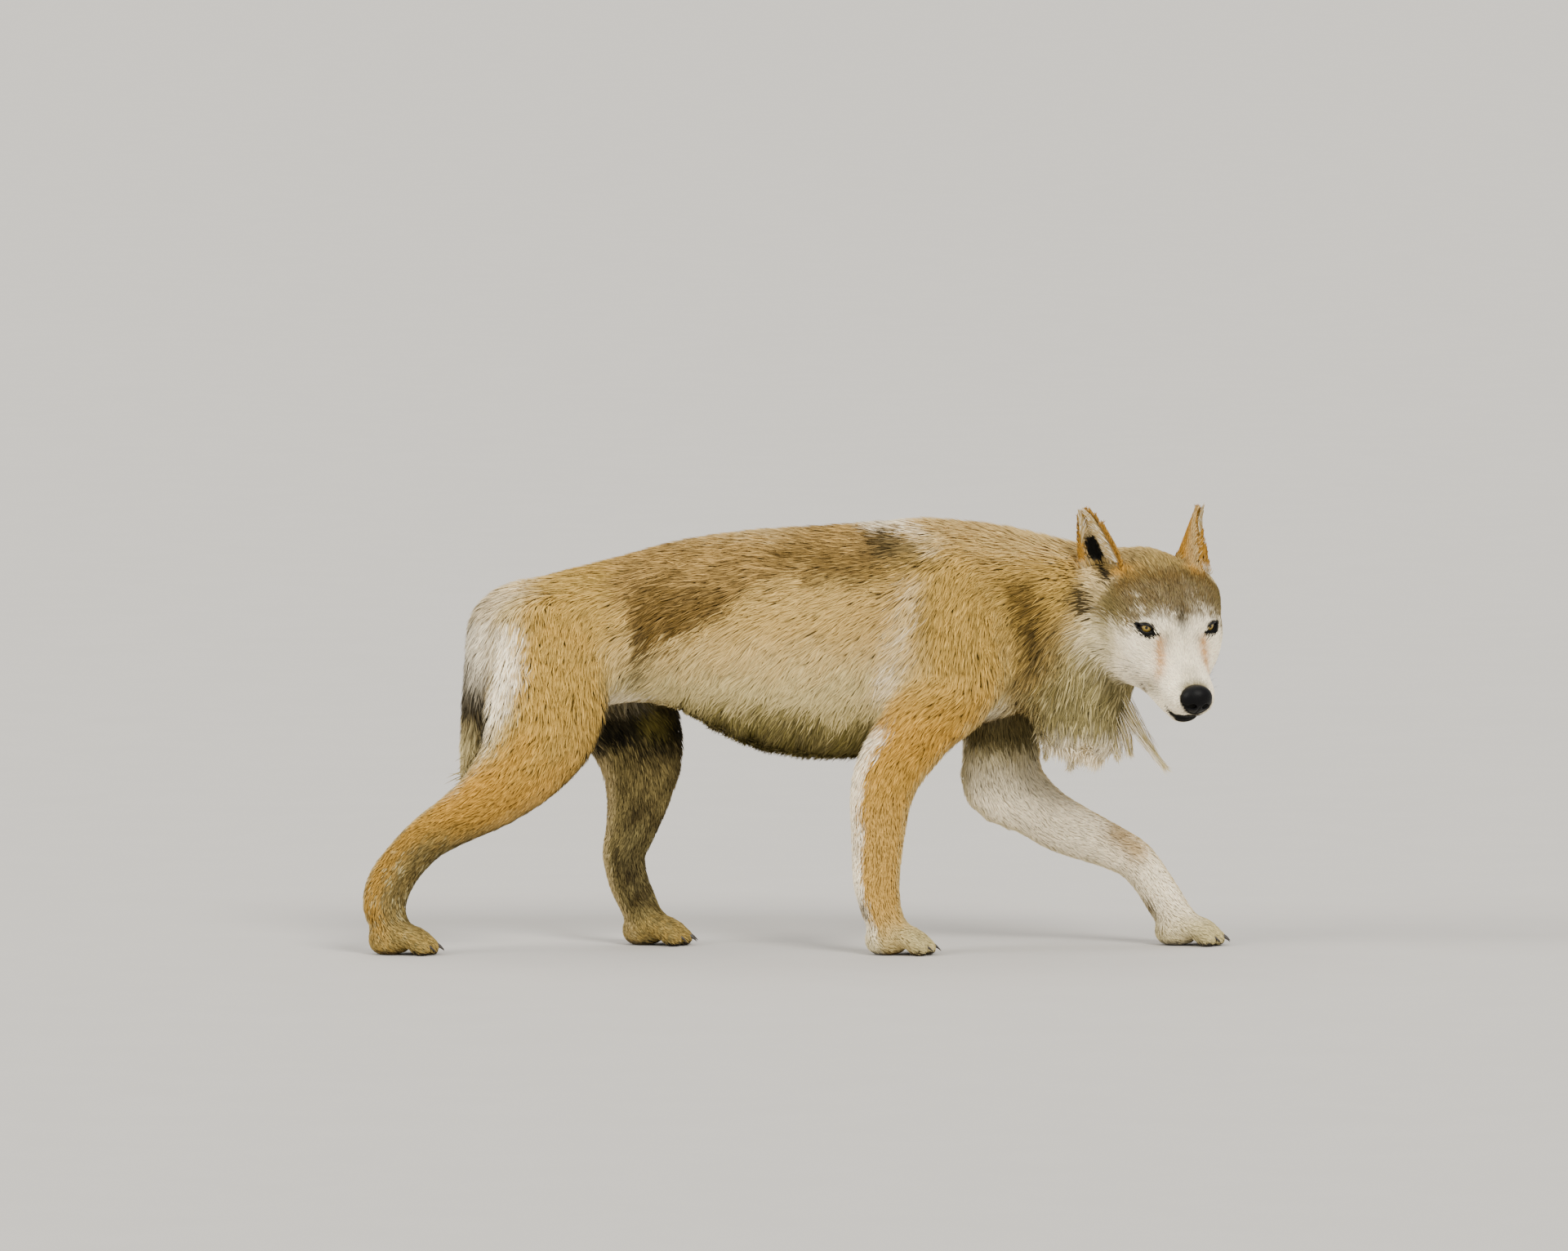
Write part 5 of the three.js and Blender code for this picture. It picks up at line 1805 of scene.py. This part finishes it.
def eyeball(side, sizes):
    """Points, triangles and tones of an eyeball with a low dome over its iris."""
    eye = EYES[side]
    own, shared = LOOK_SHARES[side]
    aim = unit(GAZES[side] * own + LOOK * shared)
    left = unit(np.cross((0, 0, 1), aim))
    over = np.cross(aim, left)
    pupil = sizes.pupil * 1000
    rings, tones = [], []
    for i in range(1, EYE_RINGS):
        # The rings lie closer together over the iris than round the back.
        a = math.pi * i / EYE_RINGS if i > IRIS_RINGS else math.radians(1.75) * i
        ring, r = [], EYE_RADIUS * math.sin(a)
        dome = 1.1 * (1 - min(r / 7.2, 1.0) ** 2) if a < 1.57 else 0.0
        for j in range(EYE_SIDES):
            t = 2 * math.pi * j / EYE_SIDES
            spoke = 0.5 + 0.5 * math.sin(11 * t + 1.7 * math.sin(5 * t)) * math.sin(23 * t + 2)
            out = left * math.cos(t) + over * math.sin(t)
            ring.append(eye + aim * (EYE_RADIUS * math.cos(a) + dome - 0.3) + out * r * 0.98)
            iris = np.array(sizes.iris) * (0.55 + 0.6 * spoke) * (1.35 - 0.12 * r)
            edge = ramp(7.0, 7.9, r)
            tone = iris * (1 - edge) + 0.006 * edge
            tone = tone * ramp(pupil - 0.2, pupil + 0.35, r) + 0.002
            far = ramp(8.0, 9.6, r) if a < 1.57 else 1.0
            tones.append(tone * (1 - far) + np.array((0.035, 0.022, 0.014)) * far)
        rings.append(ring)
    points, triangles = ring_mesh(rings)
    tones += [np.array((0.002,) * 3), np.array((0.03,) * 3)]
    points = HEAD.outward(points)
    return points, faced_out(points, triangles), np.array(tones)


def lid_rim(side):
    """Points and triangles of the lids' rim along the almond, thickest above."""
    eye = EYES[side]
    gaze, left, over = lid_axes(side)
    line = []
    for i in range(LID_STEPS):
        t = 2 * math.pi * i / LID_STEPS
        a = LID_ACROSS * math.cos(t) * 0.985
        b = LID_UP * (1 - math.cos(t) ** 2 * 0.97) * (1 if math.sin(t) > 0 else -1)
        b *= abs(math.sin(t)) ** 0.15
        r = EYE_RADIUS + 0.9
        out = math.sqrt(max(r * r - a * a - b * b, 16))
        line.append(eye + left * a + over * b + gaze * out)
    rings = []
    for i, p in enumerate(line):
        way = unit(line[(i + 1) % LID_STEPS] - line[i - 1])
        away = unit(p - eye)
        side_way = np.cross(way, away)
        thick = 1.5 + 0.5 * max(math.sin(2 * math.pi * i / LID_STEPS), 0)
        ring = []
        for t in np.arange(LID_SIDES) * 0.6283:
            ring.append(p + away * math.cos(t) * thick * 0.8 + side_way * math.sin(t) * thick)
        rings.append(ring)
    points, triangles = ring_mesh(rings + [rings[0]], closed_ends=False)
    points = HEAD.outward(points[: LID_STEPS * LID_SIDES])
    return points, faced_out(points, triangles % (LID_STEPS * LID_SIDES))


class WOLF_OT_eyes(bpy.types.Operator):
    """Make both eyeballs, amber with a dark pupil, and the dark rims of their lids"""

    bl_idname = "wolf.eyes"
    bl_label = "Eyes and lids"

    def execute(self, context):
        wet = material(
            "eye", 0.06, 900, 0.12, 0.00003,
            settings={"Coat Weight": 0.35, "Coat Roughness": 0.02, "Specular IOR Level": 0.3}
        )
        rim = material(
            "lid", 0.32, 1400, 0.3, 0.00025, colour=(0.004, 0.0035, 0.003),
            settings={"Specular IOR Level": 0.25}
        )
        for side in EYES:
            points, triangles, tones = eyeball(side, context.scene.wolf_face)
            piece = mesh_object("eyeball_" + side, points, triangles, wet, tones)
            shown(piece, "eyes", "eye_" + side)
            shown(mesh_object("lids_" + side, *lid_rim(side), rim), "nose")
        return {"FINISHED"}


def faced_out(points, triangles):
    """The triangles turned so that the closed mesh they make faces outwards."""
    a, b, c = (points[triangles[:, n]] for n in range(3))
    middle = points.mean(axis=0)
    volume = np.einsum("ij,ij->", a - middle, np.cross(b - middle, c - middle))
    return triangles if volume > 0 else triangles[:, ::-1]


def nose_shape(q):
    """The pad of the nose in the head's axes: a rounded block with nostrils and a groove."""
    x, y, z = (q - NOSE[0]).T
    body = ellipsoid(x, y, z, *NOSE[1])
    block = ellipsoid(x + 2, y, z - 3, 19, 24.5, 18)
    body = soft_join(body + 0.8, block, 6)
    for side in (1, -1):
        hole = ellipsoid(x - 14.5, y - side * 10, z + 1, 8, 5.8, 5.2)
        slit = ellipsoid(x - 9, y - side * 18.5, z + 4, 10, 6.5, 2.3)
        cut = soft_join(hole, slit, 4)
        body = -soft_join(-body, cut, 2.5)
    return body + 1.7 * bump(y, 0, 1.3) * ramp(3, -4, z) * ramp(0, 8, x)


class WOLF_OT_nose(bpy.types.Operator):
    """Make the bare pad of the nose with its nostrils"""

    bl_idname = "wolf.nose"
    bl_label = "Nose"

    def execute(self, context):
        colour = tuple(context.scene.wolf_face.nose)
        finish = material(
            "nose leather", 0.42, 620, 0.35, 0.0007, colour=colour, settings={"Specular IOR Level": 0.12}
        )
        at = np.array(NOSE[0], float)
        marks = [np.arange(at[n] - 32, at[n] + 32, 0.9) for n in range(3)]
        points, triangles = surface_net(nose_shape, marks, steps=1, most=0.5)
        points = HEAD.outward(points)
        piece = mesh_object("nose_pad", points, faced_out(points, triangles), finish)
        shown(piece, "nose", "nose")
        return {"FINISHED"}


def spike_tree():
    """Geometry Nodes: a curved, tapering spike on each point, along its aim and bent towards its bend."""
    tree = bpy.data.node_groups.new("curved spikes", "GeometryNodeTree")
    face = tree.interface
    face.new_socket("Geometry", in_out="INPUT", socket_type="NodeSocketGeometry")
    for key, value in (("Length", 0.02), ("Radius", 0.003), ("Curl", 0.2)):
        face.new_socket(key, in_out="INPUT", socket_type="NodeSocketFloat").default_value = value
    for key, value in (("Rings", 8), ("Sides", 8)):
        face.new_socket(key, in_out="INPUT", socket_type="NodeSocketInt").default_value = value
    face.new_socket("Material", in_out="INPUT", socket_type="NodeSocketMaterial")
    face.new_socket("Geometry", in_out="OUTPUT", socket_type="NodeSocketGeometry")
    new, link = tree.nodes.new, tree.links.new
    source, sink = new("NodeGroupInput"), new("NodeGroupOutput")

    def fed(node, values):
        for key, value in values.items():
            if isinstance(value, (int, float)):
                node.inputs[key].default_value = value
            else:
                link(value, node.inputs[key])
        return node.outputs[0]

    def maths(kind, a, b):
        node = new("ShaderNodeMath")
        node.operation = kind
        return fed(node, {0: a, 1: b})

    def vector(x, z):
        return fed(new("ShaderNodeCombineXYZ"), {"X": x, "Z": z})

    length, curl = source.outputs["Length"], source.outputs["Curl"]
    bent = maths("MULTIPLY", length, curl)
    line = new("GeometryNodeCurveQuadraticBezier")
    link(source.outputs["Rings"], line.inputs["Resolution"])
    link(vector(0.0, 0.0), line.inputs["Start"])
    link(vector(0.0, maths("MULTIPLY", length, 0.55)), line.inputs["Middle"])
    link(vector(bent, length), line.inputs["End"])
    along = new("GeometryNodeSplineParameter")
    taper = maths("POWER", maths("SUBTRACT", 1.0, maths("MULTIPLY", along.outputs["Factor"], 0.97)), 0.75)
    thick = new("GeometryNodeSetCurveRadius")
    link(line.outputs[0], thick.inputs["Curve"])
    link(maths("MULTIPLY", taper, source.outputs["Radius"]), thick.inputs["Radius"])
    ring = new("GeometryNodeCurvePrimitiveCircle")
    ring.inputs["Radius"].default_value = 1.0
    link(source.outputs["Sides"], ring.inputs["Resolution"])
    skin_of = new("GeometryNodeCurveToMesh")
    link(thick.outputs[0], skin_of.inputs["Curve"])
    link(ring.outputs[0], skin_of.inputs["Profile Curve"])
    skin_of.inputs["Fill Caps"].default_value = True
    if "Scale" in skin_of.inputs:
        radius = new("GeometryNodeInputRadius")
        link(radius.outputs[0], skin_of.inputs["Scale"])

    def named(key, kind):
        node = new("GeometryNodeInputNamedAttribute")
        node.data_type = kind
        node.inputs["Name"].default_value = key
        return node.outputs["Attribute"]

    first = new("FunctionNodeAlignRotationToVector")
    first.axis = "Z"
    link(named("aim", "FLOAT_VECTOR"), first.inputs["Vector"])
    second = new("FunctionNodeAlignRotationToVector")
    second.axis, second.pivot_axis = "X", "Z"
    link(first.outputs[0], second.inputs["Rotation"])
    link(named("bend", "FLOAT_VECTOR"), second.inputs["Vector"])
    place = new("GeometryNodeInstanceOnPoints")
    link(source.outputs["Geometry"], place.inputs["Points"])
    link(skin_of.outputs[0], place.inputs["Instance"])
    link(second.outputs[0], place.inputs["Rotation"])
    link(named("size", "FLOAT"), place.inputs["Scale"])
    real = new("GeometryNodeRealizeInstances")
    link(place.outputs[0], real.inputs[0])
    paint = new("GeometryNodeSetMaterial")
    link(real.outputs[0], paint.inputs["Geometry"])
    link(source.outputs["Material"], paint.inputs["Material"])
    link(paint.outputs[0], sink.inputs[0])
    return tree


def spikes(name, roots, aims, bends, sizes, values):
    """One mesh of spikes grown by Geometry Nodes from their roots, all in metres."""
    mesh = bpy.data.meshes.new(name)
    mesh.from_pydata([tuple(r) for r in roots], [], [])
    for key, data in (("aim", aims), ("bend", bends)):
        layer = mesh.attributes.new(key, "FLOAT_VECTOR", "POINT")
        layer.data.foreach_set("vector", np.asarray(data, np.float32).ravel())
    layer = mesh.attributes.new("size", "FLOAT", "POINT")
    layer.data.foreach_set("value", np.asarray(sizes, np.float32))
    piece = bpy.data.objects.new(name, mesh)
    bpy.context.scene.collection.objects.link(piece)
    tree = bpy.data.node_groups.get("curved spikes") or spike_tree()
    modifier = piece.modifiers.new("spikes", "NODES")
    modifier.node_group = tree
    keys = {item.name: item.identifier for item in tree.interface.items_tree if item.in_out == "INPUT"}
    for key, value in values.items():
        modifier[keys[key]] = value
    grown = piece.evaluated_get(bpy.context.evaluated_depsgraph_get())
    piece.data = bpy.data.meshes.new_from_object(grown)
    piece.modifiers.clear()
    piece.data.name = name
    piece.data.shade_smooth()
    return piece


class WOLF_OT_claws(bpy.types.Operator):
    """Set four curved claws in each paw"""

    bl_idname = "wolf.claws"
    bl_label = "Claws"

    def execute(self, context):
        sizes = context.scene.wolf_claw
        finish = material(
            "horn", 0.38, 260, 0.3, 0.0002, colour=tuple(sizes.colour), settings={"Coat Weight": 0.15}
        )
        for leg in LEG_NAMES:
            axes = paw_axes(*PAWS[leg])
            roots, aims, bends = [], [], []
            for side in TOES:
                root = np.array([[toe_tip(side) + 4.5, side, 17.0]])
                roots.append(to_metres(axes.outward(root))[0])
                aims.append(unit(axes.turn[0] * 0.93 + np.array([0, 0, -0.36])))
                bends.append((0, 0, -1.0))
            values = {
                "Length": sizes.length, "Radius": sizes.radius, "Curl": 0.24, "Rings": 9, "Sides": 10,
                "Material": finish
            }
            piece = spikes("claws_" + leg, roots, aims, bends, [1.0] * 4, values)
            paw = leg.replace("leg", "paw")
            shown(piece, "claws", *(f"claw_{paw}_{n}" for n in (1, 2, 3, 4)))
        return {"FINISHED"}


class WOLF_OT_whiskers(bpy.types.Operator):
    """Grow whiskers on the lips and brows"""

    bl_idname = "wolf.whiskers"
    bl_label = "Whiskers"

    def execute(self, context):
        length = context.scene.wolf_face.whisker
        finish = material("whisker", 0.4, 300, 0.2, 0.0001, colour=(0.03, 0.025, 0.02))
        rng = np.random.default_rng(23)
        roots, aims, sizes = [], [], []
        for side in (1, -1):
            for row in range(4):
                for n in range(5):
                    roots.append((138 - 13 * n - 3 * row, side * 30, -20 - 6.5 * row))
                    aims.append((-0.55 - 0.05 * n, side * (0.75 - 0.05 * n), 0.12 - 0.12 * row))
                    sizes.append(0.45 + 0.13 * n + 0.05 * rng.random())
            for n in range(4):
                roots.append((60 + 4 * n, side * (30 + 5 * n), 52))
                aims.append((-0.15, side * 0.25, 0.9))
                sizes.append(0.5 + 0.1 * rng.random())
        roots = np.array(roots, float)
        roots += rng.normal(0, 1.2, roots.shape)
        # Each root is moved along its side until it lies in the skin.
        at = HEAD.outward(roots)
        out = unit(
            np.array([(0, np.sign(y), 0) if u < 40 else (0.6, 0.2 * np.sign(y), 0.6) for _, y, u in roots])
        ) @ HEAD.turn
        for _ in range(24):
            at = at - out * np.clip(skin(at) + 0.8, -4, 4)[:, None]
        aims = unit(np.array(aims)) @ HEAD.turn
        values = {
            "Length": length, "Radius": 0.00042, "Curl": 0.28, "Rings": 8, "Sides": 5, "Material": finish
        }
        piece = spikes("whiskers", to_metres(at), aims, [(-0.3, 0, -1.0)] * len(at), sizes, values)
        shown(piece, "claws")
        return {"FINISHED"}


# Each lamp's name, place in metres, width in degrees and strength.
LAMPS = (
    ("key", (1.9, -3.4, 3.6), 22, 3.0),
    ("rear", (-3.8, -1.7, 2.8), 30, 2.5),
    ("top", (-0.8, 1.6, 5.2), 60, 1.1),
)
# What the camera looks at, in millimetres, how wide its view is there, in metres, and its height in degrees.
AIM = (-12.8, 0, 510)
VIEW_WIDTH = 2.4615
CAMERA_RISE = 4


class WOLF_OT_stage(bpy.types.Operator):
    """Set the floor, the soft lights and the camera"""

    bl_idname = "wolf.stage"
    bl_label = "Stage, lights and camera"

    def execute(self, context):
        sizes = context.scene.wolf_stage
        mesh = bpy.data.meshes.new("floor")
        reach = 160.0
        mesh.from_pydata(
            [(-reach, -reach, 0), (reach, -reach, 0), (reach, reach, 0), (-reach, reach, 0)], [],
            [(0, 1, 2, 3)]
        )
        floor = bpy.data.objects.new("floor", mesh)
        floor.location.z = -0.0005
        finish = material(
            "floor", 0.8, 6, 0.015, 0.0002, colour=tuple(sizes.floor), settings={"Specular IOR Level": 0.2}
        )
        mesh.materials.append(finish)
        context.scene.collection.objects.link(floor)
        target = Vector(to_metres(AIM))
        aim = target - Vector((0, 0, 0.08))
        for name, place, width, power in LAMPS:
            lamp = bpy.data.lights.new(name, "SUN")
            lamp.angle, lamp.energy, lamp.color = math.radians(width), power * sizes.light, (1.0, 0.965, 0.9)
            made = bpy.data.objects.new(name, lamp)
            made.location = place
            made.rotation_euler = (aim - Vector(place)).to_track_quat("-Z", "Y").to_euler()
            context.scene.collection.objects.link(made)
        world = bpy.data.worlds.new("studio")
        world.use_nodes = True
        world.node_tree.nodes["Background"].inputs["Color"].default_value = (1.0, 0.98, 0.95, 1)
        world.node_tree.nodes["Background"].inputs["Strength"].default_value = 0.75 * sizes.light
        context.scene.world = world
        data = bpy.data.cameras.new("camera")
        data.sensor_width, data.lens = 36, 36 * sizes.distance / VIEW_WIDTH
        data.clip_end = 400
        camera = bpy.data.objects.new("camera", data)
        tilt = math.radians(CAMERA_RISE)
        camera.location = target + Vector((0, -math.cos(tilt), math.sin(tilt))) * sizes.distance
        camera.rotation_euler = (target - camera.location).to_track_quat("-Z", "Y").to_euler()
        context.scene.collection.objects.link(camera)
        context.scene.camera = camera
        return {"FINISHED"}


class WOLF_PT_panel(bpy.types.Panel):
    """Lists the pieces of the wolf and their sizes"""

    bl_idname = "WOLF_PT_panel"
    bl_label = "Wolf"
    bl_space_type = "VIEW_3D"
    bl_region_type = "UI"
    bl_category = "Wolf"

    def draw(self, context):
        for key in SETTINGS:
            box = self.layout.box()
            group = getattr(context.scene, key)
            for name in group.bl_rna.properties.keys():
                if name not in ("rna_type", "name"):
                    box.prop(group, name)
        for step in STEPS:
            self.layout.operator(step.bl_idname)


SETTINGS = {
    "wolf_skin": WolfSkinSettings,
    "wolf_coat": WolfCoatSettings,
    "wolf_face": WolfFaceSettings,
    "wolf_claw": WolfClawSettings,
    "wolf_stage": WolfStageSettings,
}
STEPS = (
    WOLF_OT_skin, WOLF_OT_coat, WOLF_OT_locks, WOLF_OT_eyes, WOLF_OT_nose, WOLF_OT_claws, WOLF_OT_whiskers,
    WOLF_OT_stage
)
CLASSES = (*SETTINGS.values(), *STEPS, WOLF_PT_panel)


def register():
    for made in CLASSES:
        bpy.utils.register_class(made)
    for key, group in SETTINGS.items():
        setattr(bpy.types.Scene, key, bpy.props.PointerProperty(type=group))


def unregister():
    for key in SETTINGS:
        delattr(bpy.types.Scene, key)
    for made in reversed(CLASSES):
        bpy.utils.unregister_class(made)


def main():
    register()
    for step in STEPS:
        family, name = step.bl_idname.split(".")
        getattr(getattr(bpy.ops, family), name)()


if __name__ == "__main__":
    main()
